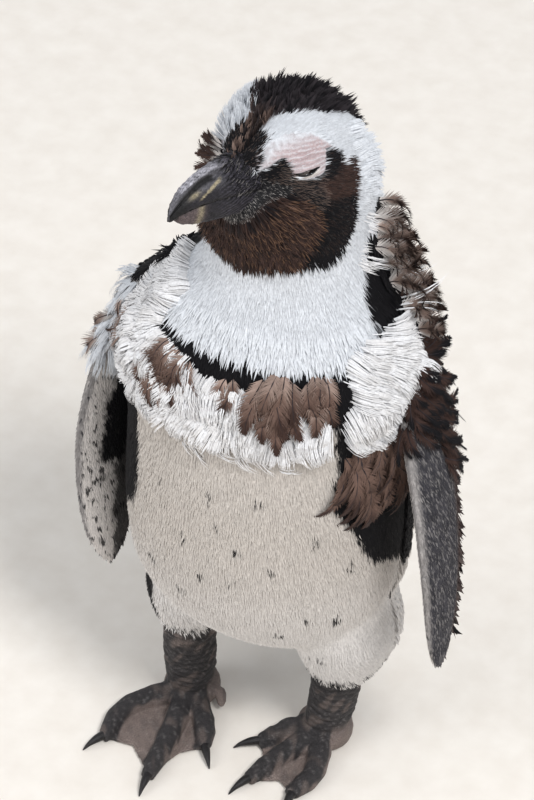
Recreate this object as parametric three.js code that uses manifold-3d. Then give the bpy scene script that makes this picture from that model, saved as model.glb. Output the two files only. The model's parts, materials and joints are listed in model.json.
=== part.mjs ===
// African penguin, adult in moult, standing at rest with its head turned a little to its right.
// Still, life-size model. Millimetres, +Z up. The body faces -Y, and the bird's left is +X.
import * as THREE from 'three';
import { LoftGeometry } from 'three/addons/geometries/LoftGeometry.js';
import { mergeVertices } from 'three/addons/utils/BufferGeometryUtils.js';
import Module from 'manifold-3d';

const wasm = await Module();
wasm.setup();

// ---------- driving sizes ----------

const GAP = 0.3;            // clearance between neighbouring solids
const DEG = Math.PI / 180;

// Trunk: height, half width on the bird's left, half width on its right, depth in front,
// depth behind, x of the middle. The sections run from the belly's lowest point to the neck.
const TRUNK = [
  [98, 8, 8, 4, 16, 4],
  [102, 34, 34, 24, 44, 3],
  [114, 62, 62, 49, 62, 2],
  [137, 80, 81, 66, 72, 2],
  [168, 88, 90, 77, 77, 3],
  [209, 89, 92, 81, 79, 4],
  [249, 88, 91, 81, 77, 6],
  [289, 85, 89, 78, 73, 9],
  [324, 81, 86, 74, 69, 12],
  [354, 74, 77, 68, 62, 14],
  [379, 62, 61, 58, 54, 16],
  [401, 51, 50, 50, 49, 18],
  [420, 45, 46, 46, 48, 20],
];
const BODY_Y = 7;           // y of the body's middle
const BODY_ROUNDNESS = 0.93;
const TRUNK_MESH = { rings: 25, sides: 34, crowd: 1.15 };
// The neck carries on from the trunk in the same form, up inside the head.
const NECK = [
  [420 + GAP, 45, 46, 46, 48, 20],
  [440, 46, 45, 46, 47, 20],
  [460, 45, 41, 44, 44, 18],
  [478, 38, 33, 36, 38, 16],
];
const NECK_MESH = { rings: 5, sides: 24, crowd: 1 };

// Rolls of loose old feathers round the breast: how far they stand out, height, half height,
// bearing round the body in degrees (0 is the bird's left, -90 its front), half width in degrees.
const ROLLS = [
  { out: 9, z: 323, tall: 24, at: -95, wide: 62 },      // front roll
  { out: 12, z: 335, tall: 26, at: -38, wide: 26 },     // left breast
  { out: 20, z: 327, tall: 44, at: -168, wide: 44 },    // right shoulder
  { out: 5, z: 370, tall: 26, at: 165, wide: 40 },      // behind the right shoulder
  { out: 11, z: 347, tall: 32, at: 20, wide: 36 },      // left shoulder
  { out: 9, z: 400, tall: 26, at: 70, wide: 60 },       // nape
  { out: 10, z: 423, tall: 20, at: -128, wide: 58 },     // throat
];

// Head: placed by its middle, then turned about the vertical, nodded and tipped.
const HEAD = { x: 13.8, y: -6.6, z: 463.3, turn: -15 * DEG, nod: 14 * DEG, tip: 9 * DEG };
// Stations along the head from the nape forwards: place, half width, top, bottom.
const SKULL = [
  [-52, 5, 8, -10],
  [-49, 20, 24, -28],
  [-40, 33, 36, -42],
  [-22, 39.5, 45, -47],
  [-4, 39.5, 46, -50],
  [12, 34, 39, -50],
  [24, 27.5, 30, -46],
  [33, 19, 21, -34],
  [41, 12.5, 15, -20],
  [46, 8, 11, -13],
];
const SKULL_ROUNDNESS = 0.9;

// Bill: place along the head, half width, ridge height, height of the mouth line.
const UPPER_BILL = [
  [26, 14, 15.5, -3],
  [38, 12.3, 15.3, -3],
  [50, 10.4, 14, -3],
  [62, 8.4, 11.8, -3.2],
  [72, 6.8, 8.4, -4.2],
  [80, 4.8, 3.6, -6.5],
  [84, 2.8, -1.5, -9],
  [86, 0.9, -6, -10.5],
];
// Lower bill: place, half width, height of the mouth line, lowest height.
const LOWER_BILL = [
  [26, 12.6, -3.6, -17],
  [40, 11, -3.6, -17.7],
  [54, 9, -3.7, -17.7],
  [66, 6.8, -4.6, -17],
  [75, 4.6, -6.3, -15.2],
  [80, 2.4, -8.4, -12.6],
];
const EYE = { forward: 10.5, side: 26.5, up: 7, radius: 7 };

// Flipper: share of the length, half chord, half thickness.
const FLIPPER = [
  [0, 19, 10],
  [0.1, 23, 9.5],
  [0.3, 27, 8],
  [0.5, 27.5, 7],
  [0.7, 25, 6],
  [0.85, 20.5, 4.5],
  [0.95, 13, 3],
  [1, 3.5, 1.5],
];
const FLIPPERS = {
  left: { root: [86, 19, 338], tip: [131, -17, 131], chord: [-0.08, 1, 0], bow: 12, out: 13 },
  right: { root: [-77, 18, 334], tip: [-90, -29, 128], chord: [0.35, 1, 0], bow: 9, out: 12 },
};

// Legs: trouser sections as x, y, z, half size across, half size along; then the bare shank,
// the heel's place, each toe's claw tip from the heel with its sideways bow, and the spur toe.
const LEGS = {
  left: {
    trouser: [[44, 6, 146, 40, 46], [53, 10, 108, 37, 39], [53, 12, 69, 25, 28]],
    shank: [[50, 16, 84, 17, 18], [46, 13, 40, 15.5, 16], [42, 8, 8, 14, 14]],
    heel: [42, 6],
    toes: [{ tip: [-46, -36], bow: 3 }, { tip: [-30, -72], bow: 1 }, { tip: [8, -72], bow: -7 }],
    spur: [-20, -8],
  },
  right: {
    trouser: [[-36, 5, 146, 40, 46], [-45, 0, 110, 36, 38], [-51, -3, 80, 24, 27]],
    shank: [[-51, 0, 94, 17, 18], [-51, -1, 40, 16.5, 17], [-51, 0, 8, 14, 14]],
    heel: [-51, -1],
    toes: [{ tip: [-37, -76], bow: 11 }, { tip: [14, -93], bow: -1 }, { tip: [42, -52], bow: -3 }],
    spur: [19, 2],
  },
};
const TOE = { root: 9, knuckle: 7, tip: 4.6, height: 8.5, tipHeight: 4 };
const WEB = { thickness: 2.4, lift: 1.1, sag: 0.86 };
const SPUR = { length: 9, radius: 4.2, height: 10 };
const CLAW = { length: 18, radius: 3.3, height: 4 };
const TAIL = [
  [4, 48, 132, 46, 30],
  [4, 76, 92, 34, 15],
  [4, 93, 58, 23, 6.5],
  [4, 105, 28, 9, 2.2],
];

// ---------- curves through stations ----------

// Monotone cubic through the stations' columns, so that a section never overshoots.
function along(stations, t) {
  const last = stations.length - 1;
  let i = 0;
  while (i < last - 1 && t > stations[i + 1][0]) i++;
  const h = stations[i + 1][0] - stations[i][0];
  const u = (t - stations[i][0]) / h;
  return stations[i].slice(1).map((value, k) => {
    const a = slopeAt(stations, i, k + 1) * h;
    const b = slopeAt(stations, i + 1, k + 1) * h;
    const rise = stations[i + 1][k + 1] - value;
    return value + u * a + u * u * (3 * rise - 2 * a - b) + u * u * u * (a + b - 2 * rise);
  });
}

function slopeAt(stations, i, k) {
  const slope = (j) => (stations[j + 1][k] - stations[j][k]) / (stations[j + 1][0] - stations[j][0]);
  if (i === 0) return slope(0);
  if (i === stations.length - 1) return slope(i - 1);
  const before = slope(i - 1);
  const after = slope(i);
  return before * after <= 0 ? 0 : (2 * before * after) / (before + after);
}

const numbered = (stations) => stations.map((row, i) => [i, ...row]);
const spread = (count, from, to) => Array.from({ length: count }, (_, i) => from + ((to - from) * i) / (count - 1));
const angles = (count) => Array.from({ length: count }, (_, i) => (i / count) * 2 * Math.PI);
const rounded = (value, power) => Math.sign(value) * Math.abs(value) ** power;
const bell = (value, half) => Math.exp(-((value / half) ** 2));

// ---------- solids ----------

function solidOf({ attributes, index }) {
  const bare = new THREE.BufferGeometry();
  bare.setAttribute('position', attributes.position);
  bare.setIndex(index);
  const merged = mergeVertices(bare, 1e-4);
  return new wasm.Manifold(new wasm.Mesh({
    numProp: 3,
    vertProperties: new Float32Array(merged.attributes.position.array),
    triVerts: new Uint32Array(merged.index.array),
  }));
}

const loft = (rings) => solidOf(new LoftGeometry(rings, { capStart: true, capEnd: true }));

// A round-sectioned solid along a smooth path of [x, y, z, half size across, half size along].
function limb(path, steps, sides, grow = 0) {
  const stations = numbered(path);
  const ends = spread(steps, 0, path.length - 1);
  const middles = ends.map((t) => along(stations, t));
  return loft(middles.map((m, i) => {
    const before = middles[Math.max(i - 1, 0)];
    const after = middles[Math.min(i + 1, steps - 1)];
    const run = new THREE.Vector3(after[0] - before[0], after[1] - before[1], after[2] - before[2]).normalize();
    const across = new THREE.Vector3(1, 0, 0);
    across.addScaledVector(run, -across.dot(run)).normalize();
    const fore = new THREE.Vector3().crossVectors(run, across);
    const end = i === 0 ? -grow : i === steps - 1 ? grow : 0;
    return angles(sides).map((angle) => new THREE.Vector3(m[0], m[1], m[2])
      .addScaledVector(run, end)
      .addScaledVector(across, (m[3] + grow) * Math.cos(angle))
      .addScaledVector(fore, (m[4] + grow) * Math.sin(angle)));
  }));
}

// A stretch of the body: level sections with the rolls of old feathers on them.
function body(stations, { rings, sides, crowd }, grow = 0) {
  const low = stations[0][0];
  const high = stations[stations.length - 1][0];
  return loft(spread(rings, 0, 1).map((share, i) => {
    const z = low + (high - low) * share ** crowd;
    const [left, right, front, back, middle] = along(stations, z);
    const end = i === 0 ? -grow : i === rings - 1 ? grow : 0;
    return angles(sides).map((angle) => {
      const cos = Math.cos(angle);
      const sin = Math.sin(angle);
      let out = grow;
      for (const roll of ROLLS) {
        const turn = Math.atan2(Math.sin(angle - roll.at * DEG), Math.cos(angle - roll.at * DEG)) / DEG;
        out += roll.out * bell(z - roll.z, roll.tall) * bell(turn, roll.wide);
      }
      return new THREE.Vector3(
        middle + (cos > 0 ? left : right) * rounded(cos, BODY_ROUNDNESS) + out * cos,
        BODY_Y + (sin < 0 ? front : back) * rounded(sin, BODY_ROUNDNESS) + out * sin,
        z + end,
      );
    });
  }));
}

// The head's own axes: forward along the bill, the bird's left, and up.
const FORWARD = new THREE.Vector3(
  Math.sin(HEAD.turn) * Math.cos(HEAD.nod),
  -Math.cos(HEAD.turn) * Math.cos(HEAD.nod),
  Math.sin(HEAD.nod),
);
const LEVEL = new THREE.Vector3(Math.cos(HEAD.turn), Math.sin(HEAD.turn), 0);
const UPRIGHT = new THREE.Vector3().crossVectors(LEVEL, FORWARD).negate();
const LEFT = LEVEL.clone().multiplyScalar(Math.cos(HEAD.tip)).addScaledVector(UPRIGHT, Math.sin(HEAD.tip));
const UP = UPRIGHT.clone().multiplyScalar(Math.cos(HEAD.tip)).addScaledVector(LEVEL, -Math.sin(HEAD.tip));
const onHead = (forward, left, up) => new THREE.Vector3(HEAD.x, HEAD.y, HEAD.z)
  .addScaledVector(FORWARD, forward).addScaledVector(LEFT, left).addScaledVector(UP, up);

function skull(grow = 0) {
  const steps = 17;
  return loft(spread(steps, SKULL[0][0], SKULL[SKULL.length - 1][0]).map((f, i) => {
    const [half, top, bottom] = along(SKULL, f);
    const end = i === 0 ? -grow : i === steps - 1 ? grow : 0;
    return angles(24).map((angle) => onHead(
      f + end,
      (half + grow) * rounded(Math.cos(angle), SKULL_ROUNDNESS),
      (top + bottom) / 2 + ((top - bottom) / 2 + grow) * rounded(Math.sin(angle), SKULL_ROUNDNESS),
    ));
  }));
}

// One half of the bill: a dome over (or under) the flat mouth plane.
function mandible(stations, upper, grow = 0) {
  const steps = 10;
  return loft(spread(steps, stations[0][0], stations[stations.length - 1][0]).map((f) => {
    const [half, top, bottom] = along(stations, f);
    const mouth = upper ? bottom : top;
    const height = upper ? top - bottom : bottom - top;
    return angles(14).map((angle) => {
      const sin = Math.sin(angle);
      const domed = upper ? Math.max(sin, 0) : Math.max(-sin, 0);
      return onHead(f, (half + grow) * Math.cos(angle), mouth + (height + Math.sign(height) * grow) * domed);
    });
  }));
}

function ball(centre, radius) {
  const geometry = new THREE.SphereGeometry(radius, 12, 8);
  geometry.translate(centre.x, centre.y, centre.z);
  return solidOf(geometry);
}

function flipper({ root, tip, chord, bow, out }) {
  const start = new THREE.Vector3(...root);
  const run = new THREE.Vector3(...tip).sub(start);
  const length = run.length();
  run.normalize();
  const back = new THREE.Vector3(...chord);
  back.addScaledVector(run, -back.dot(run)).normalize();
  const outward = new THREE.Vector3().crossVectors(run, back);
  const side = Math.sign(root[0]) * Math.sign(outward.x);
  return loft(spread(14, 0, 1).map((share) => {
    const [half, thick] = along(FLIPPER, share);
    const middle = start.clone().addScaledVector(run, share * length)
      .addScaledVector(back, -bow * Math.sin(Math.PI * share))
      .addScaledVector(outward, side * out * Math.sin(Math.PI * share));
    return angles(14).map((angle) => middle.clone()
      .addScaledVector(back, half * Math.cos(angle))
      .addScaledVector(outward, thick * Math.sin(angle)));
  }));
}

// The line of a toe from the heel to the root of its claw, bowed sideways.
function toeLine(heel, { tip, bow }) {
  const bearing = Math.atan2(tip[0], -tip[1]);
  const length = Math.hypot(...tip) - CLAW.length;
  return (share) => {
    const side = bow * Math.sin(Math.PI * share ** 1.4);
    return [
      heel[0] + share * length * Math.sin(bearing) - side * Math.cos(bearing),
      heel[1] - share * length * Math.cos(bearing) - side * Math.sin(bearing),
    ];
  };
}

// A webbed foot: three toes and a spur toe from a heel pad, the web between them, cut level
// at the floor so that the toes and the pad stand on flats.
function foot({ heel, toes, spur }) {
  const lines = toes.map((toe) => toeLine(heel, toe)).sort((a, b) => a(1)[0] - b(1)[0]);
  const pad = limb([[heel[0], heel[1] + 2, -2, 15, 15], [heel[0], heel[1] + 2, 7, 19, 19],
    [heel[0], heel[1] + 2, 15, 17, 17]], 4, 16);
  const outline = new THREE.Shape();
  outline.moveTo(heel[0], heel[1]);
  spread(5, 0.2, 1).forEach((share) => outline.lineTo(...lines[0](share)));
  for (const i of [1, 2]) {
    const from = lines[i - 1](1);
    const to = lines[i](1);
    outline.quadraticCurveTo(
      heel[0] + WEB.sag * ((from[0] + to[0]) / 2 - heel[0]),
      heel[1] + WEB.sag * ((from[1] + to[1]) / 2 - heel[1]),
      to[0],
      to[1],
    );
  }
  spread(4, 0.8, 0.2).forEach((share) => outline.lineTo(...lines[2](share)));
  const web = new THREE.ExtrudeGeometry(outline, { depth: WEB.thickness, bevelEnabled: false, curveSegments: 5 });
  web.translate(0, 0, WEB.lift);
  let solid = solidOf(web).add(pad);
  for (const line of lines) {
    solid = solid.add(limb([
      [...line(0.02), TOE.height, TOE.root, TOE.height],
      [...line(0.4), TOE.height * 0.75, TOE.knuckle, TOE.height * 0.8],
      [...line(0.8), TOE.tipHeight * 1.15, TOE.knuckle * 0.88, TOE.tipHeight * 1.25],
      [...line(1.03), TOE.tipHeight, TOE.tip, TOE.tipHeight * 0.95],
    ], 6, 8));
  }
  const bearing = Math.atan2(spur[0], -spur[1]);
  solid = solid.add(limb([
    [heel[0] + 0.3 * spur[0], heel[1] + 0.3 * spur[1], SPUR.height, SPUR.radius, SPUR.radius],
    [heel[0] + spur[0], heel[1] + spur[1], SPUR.height, SPUR.radius, SPUR.radius],
    [heel[0] + spur[0] + SPUR.length * Math.sin(bearing) * 0.6,
      heel[1] + spur[1] - SPUR.length * 0.6, SPUR.height - 2, SPUR.radius * 0.8, SPUR.radius * 0.8],
  ], 4, 8));
  const floor = new THREE.BoxGeometry(400, 400, 20);
  floor.translate(0, 0, -10);
  return solid.subtract(solidOf(floor));
}

// A claw runs on from a toe's end, arched, and ends just clear of the floor.
function claw([x, y], bearing, { length, radius, height }) {
  const step = (share, rise) => [x + Math.sin(bearing) * length * share,
    y - Math.cos(bearing) * length * share, height + rise];
  return limb([
    [...step(-0.15, 0.2), radius, radius],
    [...step(0.3, 0.9), radius * 0.85, radius * 0.85],
    [...step(0.7, -0.3), radius * 0.5, radius * 0.5],
    [...step(1, -3), 0.5, 0.5],
  ], 6, 8);
}

// ---------- the bird ----------

const penguin = new THREE.Group();
const FEATHER_WHITE = new THREE.MeshStandardMaterial({ color: 0xe4dfd4, roughness: 0.9 });
const FEATHER_DARK = new THREE.MeshStandardMaterial({ color: 0x2b2a2c, roughness: 0.85 });
const SKIN_DARK = new THREE.MeshStandardMaterial({ color: 0x34322f, roughness: 0.7 });
const BILL_HORN = new THREE.MeshStandardMaterial({ color: 0x2a2b2e, roughness: 0.45 });
const EYE_DARK = new THREE.MeshStandardMaterial({ color: 0x1a120d, roughness: 0.1 });
const CLAW_HORN = new THREE.MeshStandardMaterial({ color: 0x1c1b1a, roughness: 0.4 });

function put(name, solid, material) {
  const mesh = solid.getMesh();
  const geometry = new THREE.BufferGeometry();
  geometry.setAttribute('position', new THREE.BufferAttribute(mesh.vertProperties, 3));
  geometry.setIndex(new THREE.BufferAttribute(mesh.triVerts, 1));
  geometry.computeVertexNormals();
  const piece = new THREE.Mesh(geometry, material);
  piece.name = name;
  penguin.add(piece);
}

const trunkRoom = body(TRUNK, TRUNK_MESH, GAP);
const headRoom = skull(GAP);
const eyes = {
  left: onHead(EYE.forward, EYE.side, EYE.up),
  right: onHead(EYE.forward, -EYE.side, EYE.up),
};
let head = skull();
let neck = body(NECK, NECK_MESH).subtract(headRoom);
for (const centre of Object.values(eyes)) {
  const socket = ball(centre, EYE.radius + GAP);
  head = head.subtract(socket);
  neck = neck.subtract(socket);
}

put('trunk', body(TRUNK, TRUNK_MESH), FEATHER_WHITE);
put('neck', neck, FEATHER_WHITE);
put('head', head.subtract(trunkRoom), FEATHER_DARK);
put('bill_upper', mandible(UPPER_BILL, true).subtract(headRoom), BILL_HORN);
put('bill_lower', mandible(LOWER_BILL, false).subtract(headRoom), BILL_HORN);
put('tail', limb(TAIL, 8, 14).subtract(trunkRoom), FEATHER_DARK);

for (const side of ['left', 'right']) {
  const leg = LEGS[side];
  const trouserRoom = limb(leg.trouser, 8, 20, GAP);
  const shankRoom = limb(leg.shank, 6, 16, GAP);
  const footSolid = foot(leg);
  put(`eye_${side}`, ball(eyes[side], EYE.radius), EYE_DARK);
  put(`flipper_${side}`, flipper(FLIPPERS[side]).subtract(trunkRoom), FEATHER_DARK);
  put(`thigh_${side}`, limb(leg.trouser, 8, 20).subtract(trunkRoom), FEATHER_WHITE);
  put(`shank_${side}`, limb(leg.shank, 6, 16).subtract(trouserRoom).subtract(trunkRoom), SKIN_DARK);
  put(`foot_${side}`, footSolid.subtract(shankRoom), SKIN_DARK);
  leg.toes.forEach((toe, i) => {
    const line = toeLine(leg.heel, toe);
    const [fromX, fromY] = line(1);
    const bearing = Math.atan2(leg.heel[0] + toe.tip[0] - fromX, fromY - leg.heel[1] - toe.tip[1]);
    put(`claw_${side}_${i + 1}`, claw([fromX, fromY], bearing, CLAW).subtract(footSolid), CLAW_HORN);
  });
}

// The origin is the middle of the outline's base.
const outline = new THREE.Box3().setFromObject(penguin);
penguin.position.set(
  -(outline.min.x + outline.max.x) / 2,
  -(outline.min.y + outline.max.y) / 2,
  -outline.min.z,
);
penguin.updateMatrixWorld(true);

export default penguin;
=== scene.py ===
"""African penguin in moult, standing still: one skin under coats of mesh feathers, horn bill and claws.

Shapes are worked out in millimetres about the middle of the feet, with +Z up, the body facing -Y and
the bird's left at +X. place() turns them into the frame's metres.
"""
import json

import bmesh
import bpy
import numpy as np
from bpy.props import FloatProperty, FloatVectorProperty, IntProperty, PointerProperty
from bpy.types import Operator, Panel, PropertyGroup
from mathutils import Matrix, Vector

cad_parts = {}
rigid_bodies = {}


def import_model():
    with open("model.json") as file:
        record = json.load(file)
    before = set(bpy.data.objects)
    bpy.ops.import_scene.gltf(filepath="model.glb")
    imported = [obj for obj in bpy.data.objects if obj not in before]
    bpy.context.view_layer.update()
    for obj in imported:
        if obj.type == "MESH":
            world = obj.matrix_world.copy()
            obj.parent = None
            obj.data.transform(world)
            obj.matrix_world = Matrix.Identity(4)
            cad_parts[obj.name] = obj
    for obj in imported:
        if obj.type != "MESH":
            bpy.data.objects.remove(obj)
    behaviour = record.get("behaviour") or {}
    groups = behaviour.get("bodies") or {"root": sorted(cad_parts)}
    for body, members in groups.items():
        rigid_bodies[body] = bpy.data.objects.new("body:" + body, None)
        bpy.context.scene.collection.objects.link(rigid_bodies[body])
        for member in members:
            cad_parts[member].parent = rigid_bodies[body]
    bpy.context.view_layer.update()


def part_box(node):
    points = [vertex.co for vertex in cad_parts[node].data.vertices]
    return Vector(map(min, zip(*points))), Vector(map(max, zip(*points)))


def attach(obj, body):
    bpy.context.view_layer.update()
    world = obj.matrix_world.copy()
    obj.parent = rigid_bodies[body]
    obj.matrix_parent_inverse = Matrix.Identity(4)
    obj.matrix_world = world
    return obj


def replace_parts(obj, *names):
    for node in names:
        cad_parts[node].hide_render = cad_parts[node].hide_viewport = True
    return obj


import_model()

bl_info = {
    "name": "Penguin in moult",
    "version": (1, 0, 0),
    "blender": (4, 5, 0),
    "location": "View3D > Sidebar > Penguin",
    "description": "Skin, feather coats, bill, claws and stage of a standing African penguin",
    "category": "Object",
}

BODY = "root"
SIDES = {"left": 1.0, "right": -1.0}
# What one operator leaves for the next: inks, feather finish, grounds to plant on, face masks.
STUDIO = {}

# ---------- forms, in millimetres ----------

# Trunk and neck: height, half width on the bird's left and right, depth in front and behind,
# x of the middle.
TRUNK = [
    (98, 8, 8, 4, 16, 4), (102, 34, 34, 24, 44, 3), (114, 62, 62, 49, 62, 2),
    (137, 80, 81, 66, 72, 2), (168, 88, 90, 77, 77, 3), (209, 89, 92, 81, 79, 4),
    (249, 88, 91, 81, 77, 6), (289, 85, 89, 78, 73, 9), (324, 81, 86, 74, 69, 12),
    (354, 74, 77, 68, 62, 14), (379, 62, 61, 58, 54, 16), (401, 51, 50, 50, 49, 18),
    (420, 45, 46, 46, 48, 20), (440, 46, 45, 46, 47, 20), (460, 45, 41, 44, 44, 18),
    (478, 38, 33, 36, 38, 16),
]
TRUNK_Y = 7.0
TRUNK_ROUNDNESS = 0.93
# Rolls of loose old feathers: how far out, height, half height, bearing and half width in degrees.
ROLLS = [
    (9, 323, 24, -95, 62), (12, 335, 26, -38, 26), (20, 327, 44, -168, 44), (5, 370, 26, 165, 40),
    (11, 347, 32, 20, 36), (9, 400, 26, 70, 60), (10, 423, 20, -128, 58),
]
# Middle of the head, its turns in radians, and the height at which it leaves the neck.
HEAD_MIDDLE = np.array([13.8, -6.6, 463.3])
HEAD_TURN, HEAD_NOD, HEAD_TIP = np.radians([-15.0, 14.0, 9.0])
HEAD_BASE = 436
# Stations along the head from the nape: place, half width, top, bottom.
SKULL = [
    (-52, 5, 8, -10), (-49, 20, 24, -28), (-40, 33, 36, -42), (-22, 39.5, 45, -47),
    (-4, 39.5, 46, -50), (12, 34, 39, -50), (24, 27.5, 30, -46), (31, 21, 22.5, -38),
    (36, 16, 18, -29), (41, 12, 14, -22), (45, 6, 9, -15),
]
SKULL_ROUNDNESS = 0.9
# Middle of the left eyeball, on the head.
EYE = np.array([10.5, 26.5, 7.0])
# Bill: place along the head, half width, top, bottom. The halves meet along the mouth line.
UPPER_BILL = [
    (20, 13, 14, -3), (26, 14, 15.5, -3), (38, 12.3, 15.3, -3), (50, 10.4, 14, -3),
    (62, 8.4, 11.8, -3.2), (72, 6.8, 8.4, -4.2), (80, 4.8, 3.6, -6.5), (84, 2.8, -1.5, -9),
    (86, 0.9, -6, -10.5),
]
LOWER_BILL = [
    (20, 12, -3.6, -16.4), (26, 12.6, -3.6, -17), (40, 11, -3.6, -17.7), (54, 9, -3.7, -17.7),
    (66, 6.8, -4.6, -17), (75, 4.6, -6.3, -15.2), (80, 2.4, -8.4, -12.6),
]
# Flipper: share of the length, half chord, half thickness.
FLIPPER = [
    (0, 19, 10), (0.1, 23, 9.5), (0.3, 27, 8), (0.5, 27.5, 7), (0.7, 25, 6), (0.85, 20.5, 4.5),
    (0.95, 13, 3), (1, 3.5, 1.5),
]
FLIPPERS = {
    "left": {
        "root": (86, 19, 338), "tip": (131, -17, 131), "chord": (-0.08, 1, 0), "bow": 12, "out": 13,
    },
    "right": {
        "root": (-77, 18, 334), "tip": (-90, -29, 128), "chord": (0.35, 1, 0), "bow": 9, "out": 12,
    },
}
# Legs: sections as x, y, z, half size across, half size along; the heel, each toe's claw tip from
# the heel with its sideways bow, and the spur toe.
LEGS = {
    "left": {
        "trouser": [(44, 6, 146, 40, 46), (53, 10, 108, 37, 39), (53, 12, 69, 25, 28)],
        "shank": [
            (52, 12, 120, 15, 16), (50, 16, 84, 17, 18), (46, 13, 40, 15.5, 16), (42, 8, 8, 14, 14),
        ],
        "heel": (42, 6),
        "toes": [(-46, -36, 3), (-30, -72, 1), (8, -72, -7)],
        "spur": (-20, -8),
    },
    "right": {
        "trouser": [(-36, 5, 146, 40, 46), (-45, 0, 110, 36, 38), (-51, -3, 80, 24, 27)],
        "shank": [
            (-49, 0, 125, 15, 16), (-51, 0, 94, 17, 18), (-51, -1, 40, 16.5, 17), (-51, 0, 8, 14, 14),
        ],
        "heel": (-51, -1),
        "toes": [(-37, -76, 11), (14, -93, -1), (42, -52, -3)],
        "spur": (19, 2),
    },
}
CLAW_LENGTH = 18.0
# Height at which each leg's feathers end.
HEMS = {"left": 66.0, "right": 77.0}
# Tail: sections as x, y, z, half width, half depth.
TAIL = [(4, 48, 132, 46, 30), (4, 76, 92, 34, 15), (4, 93, 58, 23, 6.5), (4, 105, 28, 9, 2.2)]


def unit(vectors):
    """Vectors over their own lengths."""
    return vectors / np.maximum(np.linalg.norm(vectors, axis=-1, keepdims=True), 1e-9)


def ease(low, high, values):
    """Rises smoothly from 0 at low to 1 at high: three squares less two cubes of the share."""
    share = np.clip((values - low) / (high - low), 0, 1)
    return share * share * (3 - 2 * share)


def through(stations, places):
    """Monotone cubic through the stations' columns: harmonic mean slopes, one-sided at the ends."""
    table = np.asarray(stations, float)
    at, values = table[:, 0], table[:, 1:]
    slope = np.diff(values, axis=0) / np.diff(at)[:, None]
    both = slope[:-1] * slope[1:]
    total = np.where(both > 0, slope[:-1] + slope[1:], 1)
    slopes = np.vstack([slope[:1], np.where(both > 0, 2 * both / total, 0), slope[-1:]])
    places = np.clip(np.asarray(places, float), at[0], at[-1])
    i = np.clip(np.searchsorted(at, places) - 1, 0, len(at) - 2)
    step = (at[i + 1] - at[i])[..., None]
    u = (places - at[i])[..., None] / step
    a, b, rise = slopes[i] * step, slopes[i + 1] * step, values[i + 1] - values[i]
    return values[i] + u * a + u * u * (3 * rise - 2 * a - b) + u ** 3 * (a + b - 2 * rise)


def edge(stations, places):
    """The one value that a two-column table gives at each place."""
    return through(stations, places)[..., 0]


def waves(points, size, seed):
    """Smooth noise between about -1 and 1: the sum of eight sine waves in seeded directions."""
    random = np.random.default_rng(seed)
    total = np.zeros(len(points))
    for _ in range(8):
        turn = random.normal(size=3)
        total += np.sin(points @ (turn / size * 2.2) + random.uniform(0, 2 * np.pi))
    return total / 4


def head_axes():
    """Rows: forward along the bill, the bird's left, and up, after the turn, nod and tip."""
    ahead = np.array([
        np.sin(HEAD_TURN) * np.cos(HEAD_NOD), -np.cos(HEAD_TURN) * np.cos(HEAD_NOD), np.sin(HEAD_NOD)
    ])
    level = np.array([np.cos(HEAD_TURN), np.sin(HEAD_TURN), 0])
    upright = -np.cross(level, ahead)
    left = level * np.cos(HEAD_TIP) + upright * np.sin(HEAD_TIP)
    return np.array([ahead, left, upright * np.cos(HEAD_TIP) - level * np.sin(HEAD_TIP)])


HEAD_AXES = head_axes()


def on_head(places):
    """Points in millimetres from places ahead, left and up of the head's middle."""
    return HEAD_MIDDLE + np.asarray(places, float) @ HEAD_AXES


def off_head(points):
    """Places ahead, left and up of the head's middle from points in millimetres."""
    return (points - HEAD_MIDDLE) @ HEAD_AXES.T


def frame_shift():
    """How far the frame's origin is from the middle of the feet, found from the left eye's node."""
    low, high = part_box("eye_left")
    return np.array((low + high) / 2) * 1000 - on_head(EYE)


SHIFT = frame_shift()


def place(points):
    """Millimetres about the feet as the frame's metres."""
    return (points + SHIFT) * 0.001


# ---------- closed meshes from grids ----------


def tube(rings):
    """A closed tube through rings of points, its ends closed by fans: vertices, quads, triangles."""
    count, sides = rings.shape[:2]
    points = np.vstack([rings.reshape(-1, 3), rings[0].mean(0), rings[-1].mean(0)])
    i, j = np.meshgrid(np.arange(count - 1), np.arange(sides), indexing="ij")
    k = (j + 1) % sides
    quads = np.stack([i * sides + j, i * sides + k, (i + 1) * sides + k, (i + 1) * sides + j], -1)
    around = np.arange(sides)
    after = (around + 1) % sides
    base = (count - 1) * sides
    first = np.stack([np.full(sides, count * sides), after, around], -1)
    last = np.stack([np.full(sides, count * sides + 1), base + around, base + after], -1)
    faces = [quads.reshape(-1, 4), np.vstack([first, last])]
    a, b, c = points[faces[0][:, 0]], points[faces[0][:, 1]], points[faces[0][:, 2]]
    if np.einsum("ij,ij->i", a, np.cross(b, c)).sum() < 0:
        faces = [f[:, ::-1] for f in faces]
    return points, faces


def join(parts):
    """Several (points, [face arrays]) as one."""
    points, faces, base = [], [], 0
    for part_points, part_faces in parts:
        points.append(part_points)
        faces += [f + base for f in part_faces]
        base += len(part_points)
    return np.vstack(points), faces


def paint(mesh, tones):
    """Gives a mesh its point colours."""
    colours = np.column_stack([tones, np.ones(len(tones))]).astype(np.float32)
    mesh.attributes.new("Tone", "FLOAT_COLOR", "POINT").data.foreach_set("color", colours.ravel())


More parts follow.
